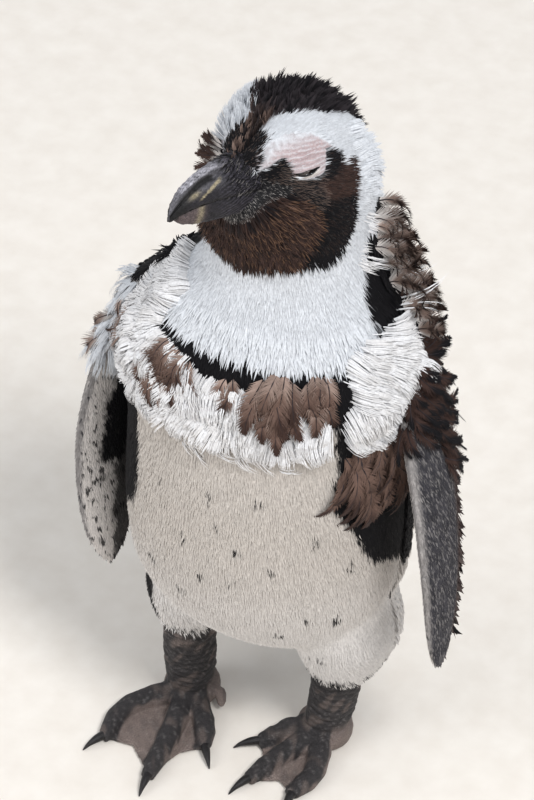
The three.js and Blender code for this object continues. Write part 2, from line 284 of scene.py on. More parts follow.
def mesh_of(name, points, faces, tones=None, patches=None, smooth=True):
    """A mesh from millimetre points and face arrays, with point colours and bake patches if given."""
    mesh = bpy.data.meshes.new(name)
    corners = np.concatenate([f.ravel() for f in faces]).astype(np.int32)
    sizes = np.concatenate([np.full(len(f), f.shape[1]) for f in faces])
    mesh.vertices.add(len(points))
    mesh.vertices.foreach_set("co", place(points).astype(np.float32).ravel())
    mesh.loops.add(len(corners))
    mesh.loops.foreach_set("vertex_index", corners)
    mesh.polygons.add(len(sizes))
    mesh.polygons.foreach_set("loop_start", (np.cumsum(sizes) - sizes).astype(np.int32))
    mesh.polygons.foreach_set("use_smooth", np.full(len(sizes), smooth))
    if tones is not None:
        paint(mesh, tones)
    if patches is not None:
        mesh.uv_layers.new(name="OFBake").data.foreach_set(
            "uv", patches[corners].astype(np.float32).ravel()
        )
    mesh.update(calc_edges=True)
    return mesh


def show(name, mesh, material):
    """Links a finished mesh as a piece that rides on the bird."""
    piece = bpy.data.objects.new(name, mesh)
    bpy.context.scene.collection.objects.link(piece)
    mesh.materials.clear()
    mesh.materials.append(material)
    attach(piece, BODY)
    return piece


def after_modifiers(piece):
    """The piece's mesh with its modifiers applied; the piece itself is removed."""
    graph = bpy.context.evaluated_depsgraph_get()
    mesh = bpy.data.meshes.new_from_object(piece.evaluated_get(graph))
    bpy.data.objects.remove(piece)
    return mesh


def worked(mesh, *modifiers):
    """A mesh after (type, settings) modifiers."""
    piece = bpy.data.objects.new("working", mesh)
    bpy.context.scene.collection.objects.link(piece)
    for kind, settings in modifiers:
        modifier = piece.modifiers.new(kind.lower(), kind)
        for key, value in settings.items():
            setattr(modifier, key, value)
    return after_modifiers(piece)


def read(mesh):
    """A mesh's points in millimetres about the feet, and its normals."""
    count = len(mesh.vertices)
    points, normals = np.empty(count * 3, np.float32), np.empty(count * 3, np.float32)
    mesh.vertices.foreach_get("co", points)
    mesh.vertex_normals.foreach_get("vector", normals)
    return points.reshape(-1, 3) * 1000.0 - SHIFT, normals.reshape(-1, 3).astype(float)


def write(mesh, points):
    """Puts points in millimetres about the feet back into their mesh."""
    mesh.vertices.foreach_set("co", place(points).astype(np.float32).ravel())
    mesh.update()


# ---------- the bird's forms ----------


def rounded(values, power):
    """A signed power, which squares an oval up as it falls under 1."""
    return np.sign(values) * np.abs(values) ** power


def roll_out(angle, heights, share):
    """How far the rolls stand out: a bell in height times a bell in bearing for each."""
    out = np.zeros(np.broadcast(angle, heights).shape)
    for far, z, tall, at, wide in ROLLS:
        turn = (np.degrees(angle) - at + 180) % 360 - 180
        out = out + share * far * np.exp(-(((heights - z) / tall) ** 2)) * np.exp(-((turn / wide) ** 2))
    return out


def trunk_form(rings, sides, roll_share):
    """Level sections: half widths times rounded cosine and sine of the angle, plus the rolls."""
    z = np.linspace(TRUNK[0][0], TRUNK[-1][0], rings)[:, None]
    left, right, front, back, middle = through(TRUNK, z[:, 0]).T[:, :, None]
    angle = np.linspace(0, 2 * np.pi, sides, endpoint=False)[None]
    cos, sin = np.cos(angle), np.sin(angle)
    out = roll_out(angle, z, roll_share)
    x = middle + np.where(cos > 0, left, right) * rounded(cos, TRUNK_ROUNDNESS) + out * cos
    y = TRUNK_Y + np.where(sin < 0, front, back) * rounded(sin, TRUNK_ROUNDNESS) + out * sin
    return tube(np.stack([x, y, z + 0 * x], -1))


def head_form(rings, sides):
    """Sections across the head's line: rounded cosine by the half width, sine by the half height,
    pinched beside the bill so that its horn comes out of the face."""
    f = np.linspace(SKULL[0][0], SKULL[-1][0], rings)[:, None]
    half, top, bottom = through(SKULL, f[:, 0]).T[:, :, None]
    angle = np.linspace(0, 2 * np.pi, sides, endpoint=False)[None]
    side = half * rounded(np.cos(angle), SKULL_ROUNDNESS)
    up = (top + bottom) / 2 + (top - bottom) / 2 * rounded(np.sin(angle), SKULL_ROUNDNESS)
    side = side * (1 - 0.42 * ease(25, 30, f) * ease(-12, -6, up) * ease(14.5, 10, up))
    return tube(on_head(np.stack([f + 0 * side, side, up], -1)))


def limb(path, rings, sides):
    """Round sections of given half sizes across and along, carried square to a smooth path."""
    table = np.asarray(path, float)
    t = np.linspace(0, len(table) - 1, rings)
    line = through(np.column_stack([np.arange(len(table)), table]), t)
    run = unit(np.gradient(line[:, :3], axis=0))
    across = np.array([1.0, 0, 0]) - run * run[:, :1]
    across = unit(across)[:, None]
    along = np.cross(run[:, None], across)
    angle = np.linspace(0, 2 * np.pi, sides, endpoint=False)[None, :, None]
    wide, deep = line[:, 3, None, None], line[:, 4, None, None]
    return tube(line[:, None, :3] + across * wide * np.cos(angle) + along * deep * np.sin(angle))


def flipper_line(side, share):
    """Middle of the flipper at each share of its length, and its run, chord and outward directions."""
    form = FLIPPERS[side]
    root, tip = np.array(form["root"], float), np.array(form["tip"], float)
    run = unit(tip - root)
    chord = np.array(form["chord"], float)
    chord = unit(chord - run * (chord @ run))
    outward = np.cross(run, chord)
    outward = outward * np.sign(root[0]) * np.sign(outward[0])
    bend = np.sin(np.pi * np.clip(share, 0, 1))[..., None]
    middle = root + np.asarray(share)[..., None] * (tip - root)
    return middle - chord * form["bow"] * bend + outward * form["out"] * bend, run, chord, outward


def flipper_form(side, coat, rings, sides):
    """Flat oval sections down the flipper's bowed line, inside the feathers by the coat's depth."""
    share = np.concatenate([[-0.14, -0.07], np.linspace(0, 1, rings)])
    half, thick = (through(FLIPPER, share) - coat * np.array([1.0, 0.8])).T
    middle, _, chord, outward = flipper_line(side, share)
    middle = middle - outward * 190 * np.clip(-share, 0, 1)[:, None]
    angle = np.linspace(0, 2 * np.pi, sides, endpoint=False)[None, :, None]
    half, thick = np.maximum(half, 1.5)[:, None, None], np.maximum(thick, 0.8)[:, None, None]
    return tube(middle[:, None] + chord * half * np.cos(angle) + outward * thick * np.sin(angle))


def flipper_place(side, points):
    """Share of the length, place along the chord (back is +) and outward place of each point."""
    form = FLIPPERS[side]
    root, tip = np.array(form["root"], float), np.array(form["tip"], float)
    share = (points - root) @ (tip - root) / ((tip - root) @ (tip - root))
    middle, _, chord, outward = flipper_line(side, share)
    return share, (points - middle) @ chord, (points - middle) @ outward


def toe_line(heel, toe, share):
    """Points from the heel to a claw's root, bowed sideways by a sine of the share."""
    x, y, bow = toe
    bearing = np.arctan2(x, -y)
    length = np.hypot(x, y) - CLAW_LENGTH
    side = bow * np.sin(np.pi * np.clip(share, 0, 1) ** 1.4)
    return np.stack([
        heel[0] + share * length * np.sin(bearing) - side * np.cos(bearing),
        heel[1] - share * length * np.cos(bearing) - side * np.sin(bearing),
    ], -1)


def spans(points, line):
    """Level distance from each point to each place on a line."""
    return np.hypot(points[:, None, 0] - line[None, :, 0], points[:, None, 1] - line[None, :, 1])


def toe_form(heel, toe):
    """A toe: flat round sections that swell at each joint, thin and low at the claw."""
    share = np.linspace(0.02, 1.04, 60)
    joints = np.exp(-(((share[:, None] - np.array([0.36, 0.6, 0.8])) / 0.05) ** 2)).sum(1)
    wide = edge([(0, 9), (0.4, 7.2), (0.8, 6.4), (1.04, 4.4)], share) + 0.55 * joints
    high = edge([(0, 8.5), (0.4, 6.8), (0.8, 5.4), (1.04, 3.8)], share) + 0.5 * joints
    middle = edge([(0, 8.5), (0.4, 6.2), (0.8, 4.6), (1.04, 3.9)], share)
    line = toe_line(heel, toe, share)
    run = unit(np.gradient(line, axis=0))
    angle = np.linspace(0, 2 * np.pi, 20, endpoint=False)[None]
    across = wide[:, None] * np.cos(angle)
    x = line[:, :1] - run[:, 1:] * across
    y = line[:, 1:] + run[:, :1] * across
    z = np.maximum(middle[:, None] + high[:, None] * np.sin(angle), 0.3)
    return tube(np.stack([x, y, z], -1))


def web_form(heel, toe_a, toe_b):
    """The web between two toes: a thin sheet that sags between them and ends in a hollow edge."""
    share = np.linspace(0.05, 1, 26)[:, None]
    way = np.linspace(0, 1, 15)[None]
    sag = 1 - 0.16 * np.sin(np.pi * way) ** 0.8
    left = toe_line(heel, toe_a, share * sag)
    right = toe_line(heel, toe_b, share * sag)
    flat = left * (1 - way[..., None]) + right * way[..., None]
    fold = 0.5 * np.cos(way * np.pi * 6) * share
    top = 3.2 + 1.6 * np.abs(1 - 2 * way) ** 3 + fold
    upper = np.concatenate([flat, (top + 0 * share)[..., None]], -1)
    lower = np.concatenate([flat, np.full(flat.shape[:2] + (1,), 0.3)], -1)
    return tube(np.concatenate([upper, lower[:, ::-1]], 1))


def leg_forms(leg):
    """Bare shank, heel pad, toes, webs and spur toe, all closed and overlapping."""
    heel = leg["heel"]
    x, y = heel[0], heel[1] + 2
    parts = [limb(leg["shank"], 40, 40)]
    pad = [(0.2, 13), (3, 17), (9, 18.5), (15, 17)]
    parts.append(limb([(x, y, z, size, size) for z, size in pad], 16, 32))
    toes = sorted(leg["toes"], key=lambda toe: toe[0])
    parts += [toe_form(heel, toe) for toe in toes]
    parts += [web_form(heel, a, b) for a, b in zip(toes, toes[1:])]
    sx, sy = leg["spur"]
    bearing = np.arctan2(sx, -sy)
    parts.append(limb([
        (x + 0.3 * sx, heel[1] + 0.3 * sy, 10, 4.4, 4.4),
        (x + sx, heel[1] + sy, 10, 4.3, 4.3),
        (x + sx + 5.4 * np.sin(bearing), heel[1] + sy - 5.4, 8, 3.0, 3.0),
        (x + sx + 7 * np.sin(bearing), heel[1] + sy - 8, 6.5, 1.2, 1.2),
    ], 14, 16))
    return parts


def trunk_radius(points):
    """Radius of the trunk's oval section at each point's height and bearing, the point's own
    distance from the trunk's axis, and its bearing in degrees."""
    left, right, front, back, middle = through(TRUNK, points[:, 2]).T
    x, y = points[:, 0] - middle, points[:, 1] - TRUNK_Y
    far = np.hypot(x, y)
    cos, sin = x / np.maximum(far, 1e-6), y / np.maximum(far, 1e-6)
    oval = 1 / np.hypot(cos / np.where(x > 0, left, right), sin / np.where(y < 0, front, back))
    return oval, far, np.degrees(np.arctan2(y, x))


# ---------- where each point is ----------


class Plan:
    """Where points lie on the bird: the part each is on, and its places on that part."""

    def __init__(self, points):
        self.points = points
        self.ahead, self.beside, self.up = off_head(points).T
        self.lift = np.degrees(np.arctan2(self.up, np.abs(self.beside)))
        self.z = points[:, 2]
        self.oval, self.far, self.bearing = trunk_radius(points)
        self.side = (self.bearing + 90 + 180) % 360 - 180
        self.face_side = np.abs((self.bearing + 105 + 180) % 360 - 180)
        self.flipper = {}
        self.part = np.full(len(points), "body", dtype="<U8")
        for side in SIDES:
            share, chord, out = flipper_place(side, points)
            half, thick = through(FLIPPER, share).T
            near = (share > 0) & (share < 1.06) & (np.abs(chord) < half + 3) & (np.abs(out) < thick + 4)
            outside = (self.far > self.oval + roll_out(np.radians(self.bearing), self.z, 0.4) + 0.5)
            on = near & (outside | (np.abs(points[:, 0]) > 92))
            self.flipper[side] = (on, share, chord, out)
            self.part[on] = "flipper"
        self.part[(self.part == "body") & (self.z < 140) & (points[:, 1] > TRUNK_Y + 40)
                  & (np.abs(points[:, 0] - 4) < 45) & (self.tail_share() > 0.35)] = "tail"
        self.hem = np.where(points[:, 0] < 1, HEMS["right"], HEMS["left"])
        self.part[(self.part == "body") & (self.z < self.hem)] = "foot"

    def tail_share(self):
        """Share of the way from the tail's root to its tip."""
        start, end = np.array(TAIL[0][:3], float), np.array(TAIL[-1][:3], float)
        return (self.points - start) @ (end - start) / ((end - start) @ (end - start))

    def on_part(self, name):
        """Which points are on the body, a flipper, a foot or the tail."""
        return self.part == name

    def patch(self):
        """Each point's place on the bake map: one chart for each part, round it and along it."""
        u = (self.bearing + 180) / 360 * 0.98 + 0.01
        v = (self.z - 60) / 430 * 0.52 + 0.01
        headish = self.on_part("body") & (self.z > HEAD_BASE)
        around = (np.degrees(np.arctan2(self.up + 8, self.beside)) + 180) / 360
        u = np.where(headish, 0.01 + around * 0.46, u)
        v = np.where(headish, 0.56 + (self.ahead + 60) / 120 * 0.42, v)
        for index, side in enumerate(SIDES):
            on, share, chord, out = self.flipper[side]
            on = on & self.on_part("flipper")
            column = 0.5 + 0.24 * index + np.where(out > 0, 0.12, 0.0)
            u = np.where(on, column + (chord + 30) / 60 * 0.11, u)
            v = np.where(on, 0.56 + share * 0.4, v)
        tail = self.on_part("tail")
        u = np.where(tail, 0.5 + (self.points[:, 0] + 45) / 100 * 0.2, u)
        v = np.where(tail, 0.01 + self.tail_share() * 0.05, v)
        return np.stack([u, v], -1)


# ---------- colours and markings ----------


def tint(red, green, blue):
    """An eight-bit colour as the linear light that shaders take."""
    share = np.array([red, green, blue]) / 255
    return tuple(np.where(share <= 0.04045, share / 12.92, ((share + 0.055) / 1.055) ** 2.4))


def colour(name, description, default):
    """A colour that a user may change."""
    return FloatVectorProperty(
        name=name, description=description, default=default, subtype="COLOR", size=3, min=0, max=1
    )


def length(name, description, default):
    """A length in metres that a user may change."""
    return FloatProperty(name=name, description=description, default=default, unit="LENGTH", min=0)


class PenguinPlumage(PropertyGroup):
    """Colours of the feathers and the skin"""

    white: colour("White", "Bib, brow and neck feathers", tint(214, 217, 222))
    # Down is set lighter than the white as painted light, against the shade among the fibres of the
    # rolls.
    down: colour("Down", "Silky loose white feathers", tint(236, 236, 238))
    # Cream is partly the belly's own off-white and partly painted shade with painted warm light from the
    # floor.
    cream: colour("Cream", "Belly and trouser feathers", tint(198, 191, 184))
    black: colour("Black", "New black feathers", tint(18, 17, 20))
    brown: colour("Brown", "Worn old face feathers", tint(60, 44, 39))
    faded: colour("Faded brown", "Loose old feathers", tint(104, 83, 74))
    crown: colour("Crown", "Worn crown feathers", tint(50, 45, 48))
    slate: colour("Slate", "Outer flipper scales", tint(55, 54, 59))
    pearl: colour("Pearl", "Inner flipper scales and feather bases", tint(206, 200, 196))
    bare: colour("Bare skin", "Skin over the eye", tint(172, 152, 153))
    scute: colour("Foot skin", "Dark skin of the feet and shanks", tint(54, 51, 52))
    web: colour("Web", "Mottled skin of the webs", tint(150, 134, 127))
    amber: colour("Amber", "Bleached tips of the beard", tint(132, 100, 78))
    dusty: colour("Dusty", "Bases of the loose old feathers", tint(146, 126, 116))


# Edges of the face pattern. Height of the dark face's lower edge by degrees from the bill.
FACE_LOW = [(0, 411), (7, 412), (22, 416), (35, 419), (45, 420), (56, 420), (62, 419.5), (69, 420.5),
            (77, 425.5), (84, 433.5), (88, 443), (90, 452), (94, 460), (99, 465), (108, 482), (120, 506)]
# Degrees up the side of the head, by place along it: top of the dark face, the cap's edge and the
# top of the bare skin. Then the place along it where the dark lores start, by degrees up the side.
FACE_TOP = [(-30, 8), (-22, 11), (-15, 15.6), (-12, 10), (-10.5, 19), (-5, 26), (-0.5, 28), (0.8, 20),
            (2, 12), (4, 8.5), (6, 7.2), (10, 5.8), (14, 6.4), (17.5, 8.2), (19.2, 12), (20, 22),
            (21, 30), (22.5, 35), (24.5, 34), (26.5, 31), (28.8, 28.6), (31, 26.7), (33, 26.5)]
CAP_EDGE = [(-54, 26), (-48, 33), (-40, 41), (-26.6, 49.5), (-11.9, 54.6), (1.7, 61.8), (8.3, 69.2),
            (14.9, 77.2), (21.4, 78.6), (28.4, 80.5)]
BARE_TOP = [(-8, 24), (-5.5, 28), (1.5, 38), (9, 49), (18, 55), (27, 58)]
LORES_EDGE = [(10, 34), (26, 31.5), (40, 29.5), (59.5, 28), (61.5, 25.6), (64, 24), (75, 22.5), (90, 21)]
# Front and rear edges of the brown beard along the head, by height on it.
BEARD_EDGE = [(-52, 27, 10), (-46, 30, 10), (-32, 34, 9.5), (-25, 35.5, 9), (-17, 33, 10),
              (-14.5, 32, 11.5), (-10.7, 28.5, 14), (-9, 27.5, 16), (-6.5, 23.5, 19), (-5, 20, 21)]
# Degrees from the front at which the black back starts, by height: bird's left, bird's right.
BACK_EDGE = [(90, 140, 138), (150, 128, 127), (200, 120, 119), (250, 115, 114), (320, 104, 100),
             (340, 92, 88), (358, 80, 82), (373, 75, 78), (390, 75, 76), (400, 80, 74), (415, 87, 72),
             (425, 96, 100), (440, 108, 140), (455, 122, 158), (480, 130, 166)]
# Degrees from the front of the black flank band's two edges, by height.
FLANK = {
    "left": [(176, 98, 104), (186, 90, 106), (195, 82, 106), (206, 71, 105), (230, 63, 102),
             (250, 56, 100), (266, 50, 98), (290, 52, 98), (310, 49, 97), (333, 47, 92), (352, 46, 60)],
    "right": [(86, 62, 66), (113, 60, 69), (150, 60, 72), (190, 60, 76), (206, 57, 82), (214, 50, 90),
              (224, 46, 96), (250, 44, 98), (290, 48, 98), (333, 54, 92), (352, 50, 60)],
}
# Heights of the chest band's edges; bearing and height of each black tick on the belly.
CHEST_BAND = (334, 363)
TICKS = [(-115, 296), (-119, 257), (-92.5, 262), (-88, 241), (-78, 225), (-125, 184), (-96.5, 195),
         (-80, 197), (-46.6, 170), (-33, 164), (-45, 238), (-62, 214), (-104, 222), (-70, 268),
         (-108, 172), (-58, 150), (-33, 108), (-140, 215), (-30, 210)]


def blend(base, over, mask):
    """One set of colours over another: base plus the mask's share of the difference."""
    return base + (np.asarray(over) - base) * np.clip(mask, 0, 1)[:, None]


def face_masks(plan):
    """Shares of dark face, cap, bare skin, beard, ear patch and jaw at each point of the head."""
    soft = lambda value, half=0.8: ease(-half, half, value)
    high = soft(plan.z - 424, 8)
    cap = soft((plan.lift - edge(CAP_EDGE, plan.ahead)) * 0.5) * soft(plan.z - 462, 3)
    lores = soft(plan.ahead - edge(LORES_EDGE, plan.lift)) * high
    low = soft(plan.z - edge(FACE_LOW, plan.face_side))
    below = soft((edge(FACE_TOP, plan.ahead) - plan.lift) * 0.5)
    face = np.clip(low * below * soft(plan.ahead + 26, 2) + lores * low, 0, 1)
    bare = soft((edge(BARE_TOP, plan.ahead) - plan.lift) * 0.5) * (1 - below) * soft(plan.ahead + 6.5)
    bare = bare * (1 - face) * (1 - cap) * soft(plan.z - 456, 3)
    front, rear = through(BEARD_EDGE, plan.up).T
    beard = soft(front - plan.ahead, 1.6) * soft(plan.ahead - rear, 1.2)
    beard = beard * soft(-5.5 - plan.up, 1.2) * face
    ear = soft(plan.ahead + 24.5) * soft(6 - plan.ahead + 0.5 * plan.up, 2) * soft(plan.up + 9, 2) * face
    ear = ear * (1 - soft(16 - np.hypot(plan.ahead - 6, plan.lift - 18), 2))
    jaw = soft(plan.ahead - 20, 4) * soft(1 - plan.up, 2) * (1 - beard) * face
    return {"face": face, "cap": cap, "bare": bare, "beard": beard, "ear": ear, "jaw": jaw}


def coat_tones(points, inks, specks=1.0):
    """The plumage's colour at each point: white, then each marking laid over it in turn."""
    plan = Plan(points)
    wobble = waves(points, 9, 3)
    fine = waves(points, 3.2, 4)
    tone = np.tile(inks.white, (len(points), 1)) * (1 + 0.03 * wobble[:, None])
    # Painted shade: the white is made a tenth darker up the head, against the brighter lamp light there.
    tone = tone * (1 - 0.1 * ease(438, 455, plan.z))[:, None]
    # Below the chest band the white turns cream: partly the belly's own off-white, partly painted shade
    # with painted warm light from the floor.
    tone = blend(tone, inks.cream, ease(352, 318, plan.z))
    # Lighter towards the bottom: the lower belly and trousers take on some of the down ink and its
    # painted light.
    tone = blend(tone, inks.down, 0.4 * ease(230, 110, plan.z))
    side = plan.side + 1.5 * fine
    back = ease(-1.5, 1.5, np.abs(side) - np.where(side > 0, *through(BACK_EDGE, plan.z).T))
    tone = blend(tone, inks.black, back)
    for name, sign in SIDES.items():
        front, rear = through(FLANK[name], plan.z).T
        inside = ease(-1, 1, side * sign - front) * ease(-1, 1, rear - side * sign)
        tone = blend(tone, inks.black, inside * (plan.z > FLANK[name][0][0]) * (plan.z < 354))
    low, high = CHEST_BAND
    chest = ease(low - 2, low + 2, plan.z) * ease(high + 2, high - 2, plan.z + 2.5 * fine)
    tone = blend(tone, inks.black, chest * (np.abs(plan.side) < 92))
    masks = face_masks(plan)
    head = plan.z > 400
    tone = blend(tone, inks.white, masks["bare"] * head)
    tone = blend(tone, inks.crown, masks["cap"] * head)
    brow = ease(8, 18, plan.ahead) * masks["cap"]
    tone = blend(tone, inks.brown, 0.75 * brow)
    tone = blend(tone, inks.faded, 0.7 * brow * ease(-0.1, 0.7, waves(points, 2.4, 7)))
    tone = blend(tone, inks.dusty, 0.6 * brow * ease(0.4, 0.9, waves(points, 1.4, 14)))
    tone = blend(tone, inks.black, masks["face"] * head)
    streak = 0.75 + 0.35 * waves(points, 2.2, 6)
    tone = blend(tone, inks.brown, masks["beard"] * head * streak)
    tone = blend(tone, inks.brown, masks["ear"] * head * streak)
    top = masks["beard"] * ease(-30, -8, plan.up) * ease(42, 28, plan.ahead)
    tone = blend(tone, inks.faded, 0.35 * top * ease(0.1, 0.9, waves(points, 2.6, 8)))
    speckle = ease(0.55, 1.0, waves(points, 1.3, 5))
    tone = blend(tone, inks.pearl, 0.8 * specks * speckle * masks["jaw"] * head)
    for bearing, z in TICKS:
        near = np.hypot((plan.bearing - bearing) * 1.4, plan.z - z)
        tone = blend(tone, inks.black, ease(3.6, 2.6, near) * ease(-0.2, 0.3, fine) * (plan.far < 110))
    flecks = ease(plan.hem + 21, plan.hem + 14, plan.z) * ease(-0.1, 0.5, fine + wobble)
    tone = blend(tone, inks.black, flecks * plan.on_part("body"))
    for name, sign in SIDES.items():
        on, share, chord, out = plan.flipper[name]
        on = on & plan.on_part("flipper")
        half = through(FLIPPER, share)[:, 0]
        rim = ease(0.70, 0.9, chord / half)
        lead = ease(-0.80, -0.98, chord / half)
        inner = blend(np.tile(inks.pearl, (len(points), 1)), inks.black, rim)
        busy = 0.25 * ease(0.45, 0.8, share) + 0.2 * ease(0.1, -0.6, chord / half)
        spots = ease(1.0, 1.25, waves(points, 4.5, 11) + busy)
        spots = spots + ease(0.95, 1.15, waves(points, 2.2, 12) + busy)
        inner = blend(inner, inks.black, np.clip(spots, 0, 1) * 0.9)
        across = chord / half + 0.12 * fine
        # On the right flipper the upper patch and the rear half of the inner face go black: partly its
        # own dark markings, partly painted shade between flipper and body.
        patch = ease(0.68, 0.6, share + 0.06 * wobble) * ease(-0.5, -0.3, across)
        inner = blend(inner, inks.black, patch * (sign < 0))
        inner = blend(inner, inks.black, 0.9 * ease(-0.05, 0.25, across) * (sign < 0))
        inner = blend(inner, inks.slate, 0.7 * ease(-0.8, -0.92, chord / half))
        outer = np.tile(inks.slate, (len(points), 1)) * (1 + 0.2 * wobble[:, None])
        outer = blend(outer, inks.pearl, 0.24 * ease(0.1, 0.8, waves(points, 0.9, 13)))
        outer = blend(outer, inks.pearl, 0.5 * lead)
        outer = blend(outer, inks.brown, 0.8 * ease(0.45, 0.85, chord / half))
        face = np.where((out > 0)[:, None], outer, inner)
        tone = np.where(on[:, None], face, tone)
    tail = plan.on_part("tail")
    tone = np.where(tail[:, None], np.asarray(inks.black), tone)
    return tone


class Inks:
    """A property group's colours as arrays."""

    def __init__(self, group):
        for key in group.bl_rna.properties.keys():
            if hasattr(getattr(group, key), "__len__") and key != "name":
                setattr(self, key, np.array(getattr(group, key)))


# ---------- materials ----------


class Wire:
    """A shader socket that takes arithmetic: each operation adds its Math node."""

    def __init__(self, finish, socket):
        self.finish, self.socket = finish, socket

    def _math(self, operation, *values):
        """A Math node over values or sockets."""
        return self.finish.add("ShaderNodeMath", {"operation": operation}, dict(enumerate(values)))

    def __add__(self, other):
        return self._math("ADD", self, other)

    def __radd__(self, other):
        return self._math("ADD", other, self)

    def __sub__(self, other):
        return self._math("SUBTRACT", self, other)

    def __rsub__(self, other):
        return self._math("SUBTRACT", other, self)

    def __mul__(self, other):
        return self._math("MULTIPLY", self, other)

    def __rmul__(self, other):
        return self._math("MULTIPLY", other, self)


class Finish:
    """A material whose nodes are added one call at a time."""

    def __init__(self, name, **constants):
        self.material = bpy.data.materials.new(name)
        self.material.use_nodes = True
        self.nodes, self.links = self.material.node_tree.nodes, self.material.node_tree.links
        self.shader = self.nodes["Principled BSDF"]
        for key, value in constants.items():
            self.shader.inputs[key.replace("_", " ")].default_value = value

    def add(self, kind, settings=None, inputs=None, output=0):
        """A node of a type with its settings and its sockets' values or links; gives one output."""
        node = self.nodes.new(kind)
        for key, value in (settings or {}).items():
            if key == "stops":
                self._stops(node.color_ramp, value)
            else:
                setattr(node, key, value)
        for key, value in (inputs or {}).items():
            self.feed(node.inputs[key], value)
        return Wire(self, node.outputs[output])

    def _stops(self, ramp, stops):
        """Sets a ramp's stops, each a position and a grey or a colour."""
        while len(ramp.elements) < len(stops):
            ramp.elements.new(0.5)
        for element, (position, value) in zip(ramp.elements, stops):
            element.position = position
            element.color = (*value, 1) if hasattr(value, "__len__") else (value, value, value, 1)

    def feed(self, socket, value):
        """Links a wire to a socket, or sets the socket's own value."""
        if isinstance(value, Wire):
            self.links.new(value.socket, socket)
        else:
            socket.default_value = value

    def surface(self, **values):
        """Feeds the shader's sockets and gives the material."""
        for key, value in values.items():
            self.feed(self.shader.inputs[key.replace("_", " ")], value)
        return self.material

    def where(self, scale=(1, 1, 1)):
        """Object coordinates, scaled."""
        place = self.add("ShaderNodeTexCoord", output="Object")
        return self.add("ShaderNodeMapping", inputs={"Vector": place, "Scale": scale})

    def noise(self, size, detail=3, at=None):
        """Noise between about 0.25 and 0.75 with features of a size in metres."""
        return self.add("ShaderNodeTexNoise", inputs={
            "Vector": at or self.where(), "Scale": 1 / size, "Detail": detail
        })

    def ramp(self, value, *stops):
        """A colour ramp over a value."""
        return self.add("ShaderNodeValToRGB", {"stops": stops}, {"Fac": value})

    def shaded(self, value, low, high, dark, light):
        """Point colours times a grey that goes from dark to light as a value goes from low to high."""
        shade = self.add("ShaderNodeMapRange", inputs={
            "Value": value, "From Min": low, "From Max": high, "To Min": dark, "To Max": light
        })
        tone = self.add("ShaderNodeAttribute", {"attribute_name": "Tone"}, output="Color")
        grey = self.add("ShaderNodeCombineColor", inputs={"Red": shade, "Green": shade, "Blue": shade})
        node = self.nodes.new("ShaderNodeMix")
        node.data_type, node.blend_type = "RGBA", "MULTIPLY"
        first, second = node.inputs[6], node.inputs[7]
        for socket, value in ((node.inputs["Factor"], 1.0), (first, tone), (second, grey)):
            self.feed(socket, value)
        return Wire(self, node.outputs[2])

    def bump(self, height, distance):
        """A bump of a height in metres where the value is 1."""
        return self.add("ShaderNodeBump", inputs={"Height": height, "Distance": distance})


def feather_finish():
    """Point colours, a little mottled, with a soft sheen."""
    made = Finish("feather", Sheen_Weight=0.05, Sheen_Roughness=0.4, Specular_IOR_Level=0.14)
    tone = made.shaded(made.noise(0.0016, 2), 0.3, 0.7, 0.88, 1.06)
    return made.surface(Base_Color=tone, Roughness=0.7 + 0.2 * made.noise(0.004, 1))


def skin_finish():
    """Point colours over fine wrinkles, with cells of scale on the feet."""
    made = Finish("skin", Specular_IOR_Level=0.35)
    cells = made.add("ShaderNodeTexVoronoi", {"feature": "DISTANCE_TO_EDGE"}, {
        "Vector": made.where(), "Scale": 700.0
    })
    low = made.ramp(made.add("ShaderNodeSeparateXYZ", inputs={
        "Vector": made.add("ShaderNodeTexCoord", output="Object")
    }, output="Z"), (0.07, 1.0), (0.09, 0.0))
    seam = 1 - low * (1 - made.ramp(cells, (0.0, 0.0), (0.12, 1.0)))
    grain = made.noise(0.0009, 4, made.where((1, 1, 0.45)))
    tone = made.shaded(seam * 0.6 + grain, 0.6, 1.3, 0.72, 1.14)
    return made.surface(
        Base_Color=tone, Roughness=0.5 + 0.25 * grain, Normal=made.bump(seam + 0.7 * grain, 0.0003)
    )


# ---------- skin ----------


def coat_depth(plan, group):
    """How far the skin lies inside the forms: deep under rolls and crown, thin on the bare face."""
    depth = np.full(len(plan.points), group.body * 1000)
    rolls = roll_out(np.radians(plan.bearing), plan.z, 0.55)
    depth += rolls * ease(425, 400, plan.z)
    head = ease(430, 450, plan.z)
    depth = depth * (1 - head) + head * group.head * 1000
    masks = face_masks(plan)
    depth += head * masks["cap"] * 2.5
    bare = masks["bare"] * head
    depth = depth * (1 - bare) + bare * 1.2
    return depth


# Middle of the closed eye's slit on the head, and its rise for each millimetre back.
SLIT_MIDDLE = (13.0, 32.5, 8.1)
SLIT_RISE = 0.21


def eye_places(points, sign):
    """Along the slit from its front, above the slit, and outward, about the closed eye's middle."""
    ahead, beside, up = off_head(points).T
    beside = beside * sign
    along = (SLIT_MIDDLE[0] - ahead) * 0.9 + (beside - SLIT_MIDDLE[1]) * 0.43
    above = (up - SLIT_MIDDLE[2]) - SLIT_RISE * along
    return along, above, beside


def slit_line(along):
    """Height of the closed slit along its length: a parabola that sags in the middle."""
    return 0.012 * along ** 2 - 0.7


def wrinkles(points, along, above):
    """Fine wavy wrinkles over the eye: a sine up the side of the head, its phase wandering."""
    return np.sin(above * 2.5 + 0.12 * along + 1.9 * waves(points, 4.5, 33) + 1.6 * waves(points, 9, 34))


